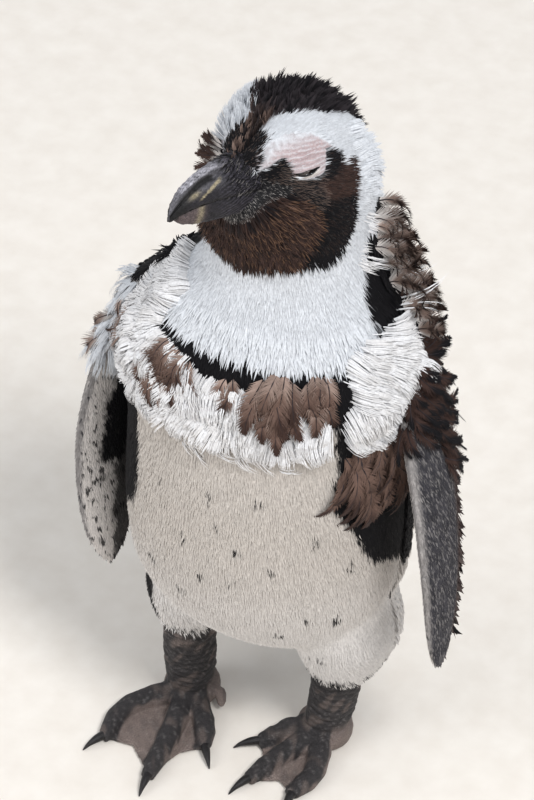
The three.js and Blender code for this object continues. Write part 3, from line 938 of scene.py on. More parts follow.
def lid_shape(points, normals, sign):
    """The closed lids: a low dome over the eyeball, a sunk slit that sags, a raised lower rim."""
    along, above, beside = eye_places(points, sign)
    near = (beside > 10) & (np.hypot(along, above) < 26)
    slit = above - slit_line(along)
    inside = ease(8.0, 5.0, np.abs(along))
    dome = 2.1 * np.exp(-((along / 9) ** 2) - (((above - 1.0) / 7.0) ** 2))
    groove = -2.2 * np.exp(-((slit / 0.6) ** 2)) * inside
    rim = 0.8 * np.exp(-(((slit + 1.7) / 1.0) ** 2)) * ease(9.6, 6, np.abs(along))
    upper = 0.5 * np.exp(-(((slit - 1.5) / 0.8) ** 2)) * ease(9.6, 6, np.abs(along))
    folds = 0.42 * wrinkles(points, along, above)
    folds = folds * np.exp(-(((above - 10) / 9.5) ** 4) - ((along / 19) ** 4))
    move = np.where(near, dome + groove + rim + upper + folds, 0)
    return points + normals * move[:, None]


def slit_marks(points, sign):
    """Shares of dark slit and pale lower rim at each point."""
    along, above, beside = eye_places(points, sign)
    slit = above - slit_line(along)
    near = beside > 10
    reach = 1.3 * ease(8.2, 1.0, np.abs(along - 0.6)) + 0.35
    dark = near * ease(reach + 0.25, reach - 0.15, np.abs(slit - 0.1)) * ease(8.4, 7.6, np.abs(along))
    pale = near * ease(-3.7, -3.1, slit) * ease(-0.5, -0.9, slit) * ease(9.5, 7, np.abs(along))
    return dark, pale


def shank_creases(points):
    """Level creases up the shanks: a sine of the height, its phase wandering."""
    return np.sin(points[:, 2] * 1.35 + 2.4 * waves(points, 11, 23))


def foot_tones(plan, inks):
    """Dark toes and shanks, with paler mottled webs between the toes, and painted light and shade over
    the shanks' creases.
    """
    points = plan.points
    toe = np.full(len(points), 99.0)
    for leg in LEGS.values():
        for claw in leg["toes"]:
            line = toe_line(leg["heel"], claw, np.linspace(0, 1, 24))
            toe = np.minimum(toe, spans(points, line).min(1))
    mottle = waves(points, 7, 21)
    fine = waves(points, 2.4, 22)
    web = ease(6.0, 8.0, toe + 1.2 * mottle) * ease(24, 12, plan.z)
    tone = np.tile(inks.scute, (len(points), 1)) * (1 + 0.25 * fine[:, None])
    tone = blend(tone, inks.web * 0.9, web * (0.75 + 0.25 * mottle))
    tone = blend(tone, inks.pearl * 0.8, 0.12 * ease(0.5, 1.0, fine))
    tone = blend(tone, inks.web * 0.5, 0.6 * ease(0.1, 0.8, mottle))
    shank = ease(16, 30, plan.z) * ease(94, 84, plan.z)
    # Painted highlight and shade: the shank is lighter on its crease ridges and darker in their hollows,
    # in step with the creases' relief.
    tone = tone * (1 + 0.3 * shank * shank_creases(points))[:, None]
    pink = ease(52, 72, plan.z) * ease(0.0, 0.8, mottle + 0.3)
    return blend(tone, inks.web, 0.45 * pink)


def skin_tones(points, inks):
    """The coat's own colour on the skin, bare colours where there is no coat."""
    plan = Plan(points)
    tone = coat_tones(points, inks, 0.0)
    bare = face_masks(plan)["bare"] * (plan.z > HEAD_BASE)
    flush = np.clip(0.5 + 0.5 * waves(points, 7, 31), 0, 1)
    streak = 0.5 * waves(points * np.array([0.5, 0.5, 1.6]), 1.3, 32)
    tone = blend(tone, inks.bare * (0.92 + 0.16 * flush + 0.10 * streak)[:, None], bare)
    pale = ease(34, 52, plan.lift) + ease(24, 29, plan.ahead)
    tone = blend(tone, inks.white * 0.85, bare * np.clip(0.3 * (1 - flush) + 0.75 * pale, 0, 0.9))
    along, above, _ = eye_places(points, 1)
    # Painted highlight on the crests of the wrinkles over the eye and painted shade in their hollows, in
    # step with the folds that lid_shape raises.
    fold_shading = ease(0.35, 0.95, wrinkles(points, along, above)) * bare
    tone = blend(tone, inks.white * 0.92, 0.55 * fold_shading)
    fold_shading = ease(0.45, 0.95, -wrinkles(points, along, above)) * bare
    tone = blend(tone, inks.bare * 0.62, 0.45 * fold_shading)
    for sign in SIDES.values():
        dark, pale = slit_marks(points, sign)
        tone = blend(tone, inks.pearl, pale * 0.9)
        tone = blend(tone, inks.black * 0.5, dark)
    foot = plan.on_part("foot")
    return np.where(foot[:, None], foot_tones(plan, inks), tone)


class PenguinSkin(PropertyGroup):
    """Depth of the skin under the coat, and its mesh sizes"""

    body: length("Body coat depth", "How far the skin lies inside the body's outline", 0.0034)
    head: length("Head coat depth", "How far the skin lies inside the head's outline", 0.0022)
    coarse: length("Body mesh size", "Size of the faces on the feathered skin", 0.0029)
    fine: length("Foot mesh size", "Size of the faces on the feet", 0.0011)
    middling: length("Flipper mesh size", "Size of the faces on the flippers", 0.0017)


class PENGUIN_OT_skin(Operator):
    """One closed skin for the whole bird, with folded lids and scaled feet"""

    bl_idname = "penguin.skin"
    bl_label = "Skin"

    def execute(self, context):
        group, inks = context.scene.penguin_skin, Inks(context.scene.penguin_plumage)
        trunk = [trunk_form(90, 120, 1.0), head_form(50, 72), limb(TAIL, 24, 32)]
        trunk += [limb(leg["trouser"], 24, 40) for leg in LEGS.values()]
        smooth = ("SMOOTH", {"factor": 0.5, "iterations": 8})
        coarse = ("REMESH", {"mode": "VOXEL", "voxel_size": group.coarse})
        body = worked(mesh_of("body", *join(trunk)), coarse, smooth)
        points, normals = read(body)
        plan = Plan(points)
        depth = coat_depth(plan, group)
        thin = plan.on_part("tail") | ((points[:, 1] > 75) & (plan.z < 110))
        depth = np.where(thin, 1.2, depth)
        write(body, points - normals * depth[:, None])
        body = worked(body, coarse, smooth)
        feet = join([part for leg in LEGS.values() for part in leg_forms(leg)])
        fine = ("REMESH", {"mode": "VOXEL", "voxel_size": group.fine})
        feet = worked(mesh_of("feet", *feet), fine, ("SMOOTH", {"factor": 0.5, "iterations": 2}))
        wings = join([flipper_form(side, 1.1, 60, 48) for side in SIDES])
        middling = ("REMESH", {"mode": "VOXEL", "voxel_size": group.middling})
        wings = worked(mesh_of("wings", *wings), middling, ("SMOOTH", {"factor": 0.5, "iterations": 3}))
        for extra in (feet, wings):
            other = bpy.data.objects.new("other", extra)
            context.scene.collection.objects.link(other)
            union = {"object": other, "operation": "UNION", "solver": "MANIFOLD"}
            body = worked(body, ("BOOLEAN", union))
            bpy.data.objects.remove(other)
        refine_eyes(body)
        points, normals = read(body)
        for sign in SIDES.values():
            points = lid_shape(points, normals, sign)
        points = scute_shape(points, normals)
        points[:, 2] = np.maximum(points[:, 2], 0.05)
        write(body, points)
        paint(body, skin_tones(points, inks))
        body.shade_smooth()
        piece = show("skin", body, skin_finish())
        flesh = ["trunk", "neck", "head", "tail"]
        flesh += [f"{part}_{side}" for side in SIDES for part in ("flipper", "thigh", "shank", "foot")]
        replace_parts(piece, *flesh)
        STUDIO["inks"] = inks
        STUDIO["feather"] = feather_finish()
        STUDIO["ground"] = Ground(body)
        STUDIO["masks"] = face_masks(STUDIO["ground"].plan)
        return {"FINISHED"}


def refine_eyes(mesh):
    """Cuts the faces round both closed eyes into quarters, three times as it closes in."""
    work = bmesh.new()
    work.from_mesh(mesh)
    for reach in (24.0, 15.0, 11.5):
        points = np.array([v.co for v in work.verts]) * 1000 - SHIFT
        near = np.zeros(len(points), bool)
        for sign in SIDES.values():
            along, above, beside = eye_places(points, sign)
            near |= (np.hypot(along, above * 1.3) < reach) & (beside > 12)
        work.verts.ensure_lookup_table()
        marked = {v for v, inside in zip(work.verts, near) if inside}
        edges = [e for e in work.edges if e.verts[0] in marked and e.verts[1] in marked]
        bmesh.ops.subdivide_edges(work, edges=edges, cuts=1, use_grid_fill=True, smooth=0.4)
    bmesh.ops.triangulate(work, faces=[f for f in work.faces if len(f.verts) > 4])
    work.to_mesh(mesh)
    work.free()


def scute_shape(points, normals):
    """Rings of scales on the toes and wrinkles on the shanks: small cosine ridges."""
    plan = Plan(points)
    foot = plan.on_part("foot")
    move = np.zeros(len(points))
    near = np.full(len(points), 99.0)
    for leg in LEGS.values():
        for claw in leg["toes"]:
            share = np.linspace(0, 1.05, 80)
            line = toe_line(leg["heel"], claw, share)
            low = points[:, 2] < 16
            far = spans(points, line)
            at = far.argmin(1)
            gap = far.min(1)
            walk = np.concatenate([[0], np.cumsum(np.hypot(*np.diff(line, axis=0).T))])[at]
            ridge = 0.34 * np.abs(np.sin(walk * np.pi / 3.1)) * ease(6.5, 3.0, gap)
            closer = (gap < near) & low
            move = np.where(closer, ridge, move)
            near = np.where(closer, gap, near)
    shank = ease(14, 22, points[:, 2])
    wrinkle = 0.45 * waves(points * np.array([1, 1, 2.4]), 6, 41) + 0.3 * waves(points, 3.0, 42)
    move = move + shank * (wrinkle + 0.35 * shank_creases(points))
    web = ease(7, 9, near) * (points[:, 2] < 16)
    move = move + web * 0.18 * waves(points, 3.5, 43)
    return points + normals * (move * foot)[:, None]


# ---------- bill, claws and eyes ----------

# Half sections from the middle above round to the middle below: place round the section, share of
# the half width, then share of the height over the mouth line, or of the depth under it.
UPPER_SECTION = [
    (0, 0, 1), (1, 0.26, 0.985), (1.5, 0.36, 0.94), (2, 0.43, 0.84), (2.5, 0.52, 0.74),
    (3.2, 0.70, 0.63), (4.2, 0.89, 0.42), (5.3, 1, 0.12), (6, 0.97, 0), (6.5, 0.84, -0.05),
    (8, 0, -0.03),
]
BILL_SIDES = 52
LOWER_SECTION = [
    (0, 0, -0.02), (1.5, 0.84, 0), (2, 0.96, -0.05), (3, 1, -0.3), (4.5, 0.87, -0.66), (6, 0.52, -0.92),
    (8, 0, -1),
]


class PenguinHorn(PropertyGroup):
    """Colours of the bill, claws and eyes, and the bill's fineness"""

    dark: colour("Dark horn", "Base of the bill", tint(33, 31, 36))
    plate: colour("Ridge plate", "Worn plate down the bill's ridge", tint(146, 144, 151))
    cream: colour("Cream streak", "Streak and patch on the side of the bill", tint(166, 154, 126))
    blush: colour("Bill tip", "Tip of the lower half", tint(92, 80, 80))
    claw: colour("Claw", "Polished claw horn", tint(34, 32, 33))
    eye: colour("Eye", "Wet eyeball under the lids", tint(26, 16, 12))
    rings: IntProperty(name="Rings", description="Sections along each bill half", default=150, min=40)


def bill_half(stations, section, rings, steps):
    """Half sections scaled to the width and height at each place along the head and mirrored into
    rings: places on the head, and each one's share of the height."""
    f = np.linspace(0, 1, rings) ** 0.9 * (stations[-1][0] - stations[0][0]) + stations[0][0]
    half, top, bottom = through(stations, f).T[:, :, None]
    wide, high = through(section, np.linspace(0, 8, steps)).T
    wide = np.concatenate([wide, -wide[-2:0:-1]])[None]
    high = np.concatenate([high, high[-2:0:-1]])[None]
    up = (bottom if section is UPPER_SECTION else top) + high * (top - bottom)
    places = np.stack([f[:, None] + 0 * wide * half, half * wide, up], -1)
    return places, high + 0 * half


def strands(flat):
    """Phase of the oblique ridges on the bill's base, which drop forward and waver."""
    return (flat[:, 2] + 0.42 * flat[:, 0] + 0.8 * waves(flat, 7, 51)) * np.pi / 1.9


def bill_relief(places, high, upper):
    """Oblique ridges over the base that fade forward, a groove under the ridge plate, fine flakes."""
    flat = places.reshape(-1, 3)
    f = flat[:, 0]
    ridges = 0.5 * np.abs(np.sin(strands(flat))) * ease(60, 46, f)
    line = 0.75 - 0.010 * np.clip(f - 66, 0, None)
    groove = -0.75 * np.exp(-(((high.ravel() - line) / 0.06) ** 2)) * ease(50, 62, f) * upper
    flakes = 0.2 * waves(flat, 2.1, 53) + 0.16 * waves(flat * np.array([0.35, 1, 1]), 1.3, 54)
    return ridges + groove + flakes


def bill_tones(places, high, upper, inks):
    """Dark base with painted highlights on its ridges and painted shade between them, light ridge plate,
    black groove, cream streak and patch; a pale band and a blushed tip below."""
    flat = places.reshape(-1, 3)
    f, _, up = flat.T
    high = high.ravel()
    fine = waves(flat * np.array([0.5, 1, 1]), 1.5, 55)
    broad = waves(flat, 6, 56)
    tone = np.tile(inks.dark, (len(f), 1)) * (1 + 0.22 * fine[:, None] + 0.15 * broad[:, None])
    # Painted highlights along the oblique ridges of the base and painted shade between them, in step
    # with the ridges that bill_relief raises.
    tone = tone * (1 + (3.0 * np.abs(np.sin(strands(flat))) ** 3 - 0.75) * ease(62, 46, f))[:, None]
    if upper:
        grey = ease(46, 60, f) * ease(0.3, 0.6, high)
        tone = blend(tone, inks.plate * 0.55, 0.5 * grey)
        patch = np.exp(-(((f - 72.5) / 3.4) ** 2) - (((high - 0.52) / 0.11) ** 2))
        tone = blend(tone, inks.cream * 0.8, 0.9 * patch)
        streak = np.abs(high - 0.23 - (70 - f) * 0.025)
        streak = ease(0.075, 0.03, streak + 0.025 * fine) * ease(52, 57, f) * ease(71, 66, f)
        tone = blend(tone, inks.cream, 0.85 * streak)
        line = 0.75 - 0.010 * np.clip(f - 66, 0, None)
        pit = np.exp(-(((high - line - 0.02) / 0.13) ** 4)) * ease(54, 60, f + 2 * fine)
        tone = blend(tone, inks.claw * 0.4, 0.95 * pit)
        tone = blend(tone, inks.claw * 0.3, 0.95 * ease(74, 80, f) * ease(0.8, 0.55, high))
        edge_line = ease(0.91, 0.955, high + 0.015 * fine) * ease(43, 58, f)
        plate = inks.plate * (0.9 + 0.5 * fine[:, None] + 0.2 * broad[:, None])
        tone = blend(tone, plate, edge_line * (1 - 0.8 * ease(75, 83, f)))
        tone = blend(tone, inks.claw, ease(0.06, 0.0, high))
    else:
        band = np.exp(-(((f - 67.5 + 0.1 * (up + 8)) / 2.0) ** 2))
        tone = blend(tone, inks.blush, ease(60, 72, f) * (0.8 + 0.15 * fine))
        tone = blend(tone, inks.cream * 0.8, 0.6 * band)
        tone = blend(tone, inks.claw, ease(-0.06, -0.01, high))
    return tone


def claw_form(heel, toe):
    """A claw that runs on from its toe: round sections on an arched line, thin at the floor."""
    start = toe_line(heel, toe, np.array([1.0]))[0]
    reach = np.array([heel[0] + toe[0], heel[1] + toe[1]]) - start
    reach = reach / np.hypot(*reach) * CLAW_LENGTH
    path = [(-0.2, 4.2, 3.2), (0.3, 4.9, 2.8), (0.7, 3.7, 1.65), (0.92, 1.7, 0.8), (1.0, 0.8, 0.35)]
    return limb([(*(start + reach * share), z, size, size) for share, z, size in path], 30, 20)


def horn_finish(name, roughness, streaks):
    """Point colours under fine scratches that run along the horn."""
    made = Finish(name, Specular_IOR_Level=0.28)
    scratch = made.noise(0.0007, 4, made.where(streaks))
    tone = made.shaded(scratch, 0.3, 0.7, 0.45, 1.5)
    return made.surface(
        Base_Color=tone, Roughness=roughness + 0.25 * scratch, Normal=made.bump(scratch, 0.0004)
    )


class PENGUIN_OT_horn(Operator):
    """The bill's two halves, the claws and the wet eyes"""

    bl_idname = "penguin.horn"
    bl_label = "Bill, claws and eyes"

    def execute(self, context):
        group = context.scene.penguin_horn
        inks = Inks(group)
        finish = horn_finish("bill horn", 0.42, (1, 0.45, 1))
        for name, stations, section in (
            ("bill_upper", UPPER_BILL, UPPER_SECTION), ("bill_lower", LOWER_BILL, LOWER_SECTION)
        ):
            upper = name == "bill_upper"
            places, high = bill_half(stations, section, group.rings, BILL_SIDES)
            tones = bill_tones(places, high, upper, inks)
            points, faces = tube(on_head(places))
            tones = np.vstack([tones, tones[:1], tones[-1:]])
            mesh = mesh_of(f"{name}_horn", points, faces, tones)
            points, normals = read(mesh)
            relief = np.append(bill_relief(places, high, upper), [0, 0])
            write(mesh, points + normals * relief[:, None])
            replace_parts(show(f"{name}_horn", mesh, finish), name)
        STUDIO["bill"] = Ground(bpy.data.objects["bill_upper_horn"].data)
        polish = horn_finish("claw horn", 0.22, (1, 1, 0.5))
        for side, leg in LEGS.items():
            points, faces = join([claw_form(leg["heel"], toe) for toe in leg["toes"]])
            shade = 1 + 0.5 * ease(4.5, 1.0, points[:, 2:]) + 0.15 * waves(points, 2.2, 57)[:, None]
            mesh = mesh_of(f"claws_{side}", points, faces, inks.claw * shade)
            piece = show(f"claws_{side}", mesh, polish)
            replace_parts(piece, *[f"claw_{side}_{i}" for i in (1, 2, 3)])
        wet = Finish("wet eye", Specular_IOR_Level=0.6, Coat_Weight=0.6, Coat_Roughness=0.03)
        iris = wet.ramp(wet.noise(0.0018, 3), (0.35, inks.eye * 0.6), (0.7, inks.eye * 1.6))
        wet.surface(Base_Color=iris, Roughness=0.12)
        for side in SIDES:
            node = bpy.data.objects[f"eye_{side}"]
            for slot in node.material_slots:
                slot.material = wet.material
        return {"FINISHED"}


# ---------- feathers ----------


class Ground:
    """The finished skin as arrays, for planting feathers on."""

    def __init__(self, mesh):
        mesh.calc_loop_triangles()
        count = len(mesh.loop_triangles)
        corners = np.empty(count * 3, np.int32)
        mesh.loop_triangles.foreach_get("vertices", corners)
        self.corners = corners.reshape(-1, 3)
        self.points, self.normals = read(mesh)
        self.areas = 0.5 * np.linalg.norm(np.cross(
            self.points[self.corners[:, 1]] - self.points[self.corners[:, 0]],
            self.points[self.corners[:, 2]] - self.points[self.corners[:, 0]],
        ), axis=1)
        self.plan = Plan(self.points[self.corners].mean(1))

    def plant(self, where, spacing, seed):
        """Seeded roots spread over some triangles, at most one in each cube of a spacing."""
        random = np.random.default_rng(seed)
        picks = np.flatnonzero(where)
        weights = self.areas[picks]
        count = int(3.2 * weights.sum() / spacing ** 2)
        chosen = picks[random.choice(len(picks), count, p=weights / weights.sum())]
        a, b = random.random((2, count))
        over = a + b > 1
        a, b = np.where(over, 1 - a, a)[:, None], np.where(over, 1 - b, b)[:, None]
        corners = self.corners[chosen]
        at = lambda values: values[corners[:, 0]] * (1 - a - b) + values[corners[:, 1]] * a \
            + values[corners[:, 2]] * b
        roots = at(self.points)
        cell = np.floor(roots / (spacing * 1.13)).astype(np.int64)
        _, kept = np.unique(cell @ np.array([73856093, 19349663, 83492791]), return_index=True)
        kept = np.sort(kept)
        return roots[kept], unit(at(self.normals)[kept])


def lie(points):
    """The way the coat lies: away from the bill on the head, down the body, out along the limbs."""
    plan = Plan(points)
    head = ease(412, 450, plan.z)[:, None]
    from_bill = unit(points - on_head([46, 0, 4]))
    down = np.stack([0 * plan.z, np.full(len(points), 0.16), np.full(len(points), -1.0)], -1)
    down[:, 1] += ease(125, 100, plan.z) * 0.5
    flow = unit(down) * (1 - head) + from_bill * head
    for side in SIDES:
        on = plan.flipper[side][0] & plan.on_part("flipper")
        _, run, chord, _ = flipper_line(side, np.zeros(1))
        flow = np.where(on[:, None], run + 0.22 * chord, flow)
    tail = np.array(TAIL[-1][:3], float) - np.array(TAIL[1][:3], float)
    flow = np.where(plan.on_part("tail")[:, None], unit(tail), flow)
    return flow


def laid(flow, normals):
    """A flow turned to lie in the skin."""
    return unit(flow - normals * np.einsum("ij,ij->i", flow, normals)[:, None])


def vanes(roots, normals, flow, length, width, stand, rest, swirl=0.0, sink=0.4,
          rings=(0.0, 0.6), shape=(0.75, 1.0), ridge=0.22):
    """Closed thin blades. Each is carried from its root along a path whose angle from the skin's
    normal goes evenly from stand to rest, while it swings sideways by swirl; its section is a flat
    triangle, as wide as its ring's share of the width, and it ends in a point."""
    count = len(roots)
    cross = np.cross(normals, flow)
    full = lambda value: np.broadcast_to(np.asarray(value, float), (count,))[:, None]
    length, width, stand, rest, swirl = map(full, (length, width, stand, rest, swirl))
    steps = np.append(np.asarray(rings), 1.0)
    at = roots - normals * sink
    levels, spine, sides = [], [], []
    previous = steps[0]
    for step in steps:
        middle = (step + previous) / 2
        tilt, turn = stand + (rest - stand) * middle, swirl * middle
        head = flow * np.cos(turn) + cross * np.sin(turn)
        at = at + length * (step - previous) * (normals * np.cos(tilt) + head * np.sin(tilt))
        tilt, turn = stand + (rest - stand) * step, swirl * step
        head = flow * np.cos(turn) + cross * np.sin(turn)
        across = cross * np.cos(turn) - flow * np.sin(turn)
        levels.append(normals * np.sin(tilt) - head * np.cos(tilt))
        spine.append(at)
        sides.append(across)
        previous = step
    blades = []
    for k, share in enumerate(shape):
        half = width * share / 2
        blades += [spine[k] - sides[k] * half, spine[k] + levels[k] * half * 2 * ridge,
                   spine[k] + sides[k] * half]
    points = np.stack(blades + [spine[-1]], 1)
    return points, blade_faces(len(shape))


def blade_faces(rings):
    """Triangles of one blade: a cap at the root, the three sides, and the point."""
    faces = [(0, 1, 2)]
    for k in range(rings - 1):
        for side in range(3):
            a, b = 3 * k + side, 3 * k + (side + 1) % 3
            faces += [(a, a + 3, b), (b, a + 3, b + 3)]
    last = 3 * (rings - 1)
    faces += [(last + side, 3 * rings, last + (side + 1) % 3) for side in range(3)]
    return np.array(faces)


def feather_piece(name, blades, tones, roots):
    """One mesh of all the blades, with their colours and a bake patch each about 0.003 across."""
    points, faces = blades
    count, per = points.shape[:2]
    corners = (np.arange(count)[:, None, None] * per + faces[None]).reshape(-1, 3)
    rings = (per - 1) // 3
    across = np.append(np.tile([-1.0, 0.0, 1.0], rings), 0.0)
    along = np.append(np.repeat(np.linspace(-1, 0.6, rings), 3), 1.0)
    spots = Plan(roots).patch()[:, None] + 0.0015 * np.stack([across, along], -1)[None]
    if tones.ndim == 2:
        tones = np.repeat(tones[:, None], per, 1)
    mesh = mesh_of(name, points.reshape(-1, 3), [corners], tones.reshape(-1, 3),
                   spots.reshape(-1, 2), smooth=False)
    return show(name, mesh, STUDIO["feather"])


def feather_sets(name, sets, faces):
    """One piece of several sets of like blades, each its points, colours and roots."""
    points, tones, roots = (np.concatenate(part) for part in zip(*sets))
    return feather_piece(name, (points, faces), tones, roots)


def ragged(tones, random, spread):
    """Colours with each feather a little lighter or darker than its neighbours."""
    return np.clip(tones * (1 + spread * random.normal(size=(len(tones), 1))), 0.002, 0.9)


class PenguinCoat(PropertyGroup):
    """How closely the short feathers stand"""

    belly: length("Belly spacing", "Distance between feathers on the belly", 0.00135)
    bib: length("Bib spacing", "Distance between feathers on the bib and neck", 0.00125)
    back: length("Back spacing", "Distance between feathers on the back", 0.0021)
    face: length("Face spacing", "Distance between feathers on the face", 0.0010)
    flipper: length("Flipper spacing", "Distance between scales on the flippers", 0.0015)


def fringe_heading(points):
    """Down the left flipper and back past its edge."""
    _, run, chord, _ = flipper_line("left", np.zeros(1))
    return np.tile(run + 0.8 * chord, (len(points), 1))


def base_heading(points):
    """Over the bill's base: forward and a little down to each side."""
    ahead, beside, _ = off_head(points).T
    local = np.stack([0 * ahead + 1, 0.12 * np.sign(beside), 0 * ahead - 0.55], -1)
    return unit(local @ HEAD_AXES)


# Heights in millimetres at which the belly's coat ends and the head's starts, and half the width of
# the front in degrees.
BELLY_TOP, HEAD_FROM, FRONT_HALF = 356, 428, 95
ONE_RING = {"rings": (0.0,), "shape": (1.0,)}
FLAT = {"ridge": 0.06, "sink": 0.15, **ONE_RING}
THREE_RINGS = {"rings": (0.0, 0.35, 0.7), "shape": (0.8, 1.0, 0.6)}


def short_coat(name, slot, where, spacing, size, angles, seed, swirl=0.12, tip=None, scatter=0.5,
               spread=0.045, heading=None, specks=1.0, on="ground", **shape):
    """A patch of short feathers that lie along the body. Size is length and width; angles are from
    the skin's normal at root and tip; tip is an ink, how much of it and the share of tips with it."""
    inks, random = STUDIO["inks"], np.random.default_rng(seed)
    roots, normals = STUDIO[on].plant(where, spacing * 1000, seed)
    flow = lie(roots) if heading is None else heading(roots)
    count = len(roots)
    cross = unit(np.cross(normals, flow))
    flow = laid(flow + cross * random.normal(0, 0.13, (count, 1)), normals)
    long, wide = size
    stand, rest = np.radians(angles)
    blades = vanes(
        roots, normals, flow, long * random.uniform(0.8, 1.2, count),
        wide * random.uniform(0.85, 1.15, count), stand + random.normal(0, 0.03, count),
        rest + random.normal(0, 0.03, count), random.normal(0, swirl, count), **shape
    )
    tones = coat_tones(roots + random.normal(0, scatter, (count, 3)), inks, specks)
    tones = ragged(tones, random, spread)
    if tip is not None:
        ink, amount, share = tip
        per = blades[0].shape[1]
        amount = amount * (random.random(count) < share)
        mixed = blend(tones, getattr(inks, ink), amount)
        tones = np.stack([tones] * (per - 1) + [mixed], 1)
    return feather_piece(name, blades, tones, roots)


def locks(where, gap, fibres, reach, gather, size, angles, heading, seed, waver, loose=1.0):
    """Locks of fibres: roots within a reach of each lock's own, tips gathered towards its line. Near
    locks lie alike, and loose says how far each lock and each fibre strays from its neighbours.
    Gives the fibres' points, their faces, each one's lock and the locks' roots."""
    random = np.random.default_rng(seed)
    roots, normals = STUDIO["ground"].plant(where, gap, seed)
    count = len(roots)
    bend = 70 * waver * waves(roots, 16, seed) + random.normal(0, 20 * waver * loose, count)
    flow = turned(lie(roots), normals, heading + bend)
    cross = np.cross(normals, flow)
    length, width = size
    long = length * (1 + 0.12 * waves(roots, 13, seed + 40) + random.normal(0, 0.14 * loose, count))
    lean = 0.24 * waves(roots, 13, seed + 50) + random.normal(0, 0.06 + 0.06 * loose, count)
    owner = np.repeat(np.arange(count), fibres)
    off = reach * random.normal(0, 0.7, (len(owner), 2)) * np.array([0.2 if loose < 1 else 1.0, 1.0])
    start = roots[owner] + flow[owner] * off[:, :1] + cross[owner] * off[:, 1:]
    pull = np.arctan2(off[:, 1] * gather, long[owner])
    around = flow[owner] * np.cos(pull)[:, None] - cross[owner] * np.sin(pull)[:, None]
    stand, rest = np.radians(angles)
    points, faces = vanes(
        start, normals[owner], unit(around),
        long[owner] * (1 - (0.05 + 0.25 * loose) * random.random(len(owner))), width,
        stand + lean[owner] + random.normal(0, 0.04 * loose, len(owner)),
        rest + lean[owner] + random.normal(0, 0.02 + 0.05 * loose, len(owner)),
        random.normal(0, 0.06, len(owner)) + (random.normal(0, 0.5 * waver * loose, count))[owner],
        rings=(0.0, 0.28, 0.52, 0.76), shape=(1.0, 0.95, 0.8, 0.5), ridge=0.05, sink=0.8
    )
    return points, faces, owner, roots


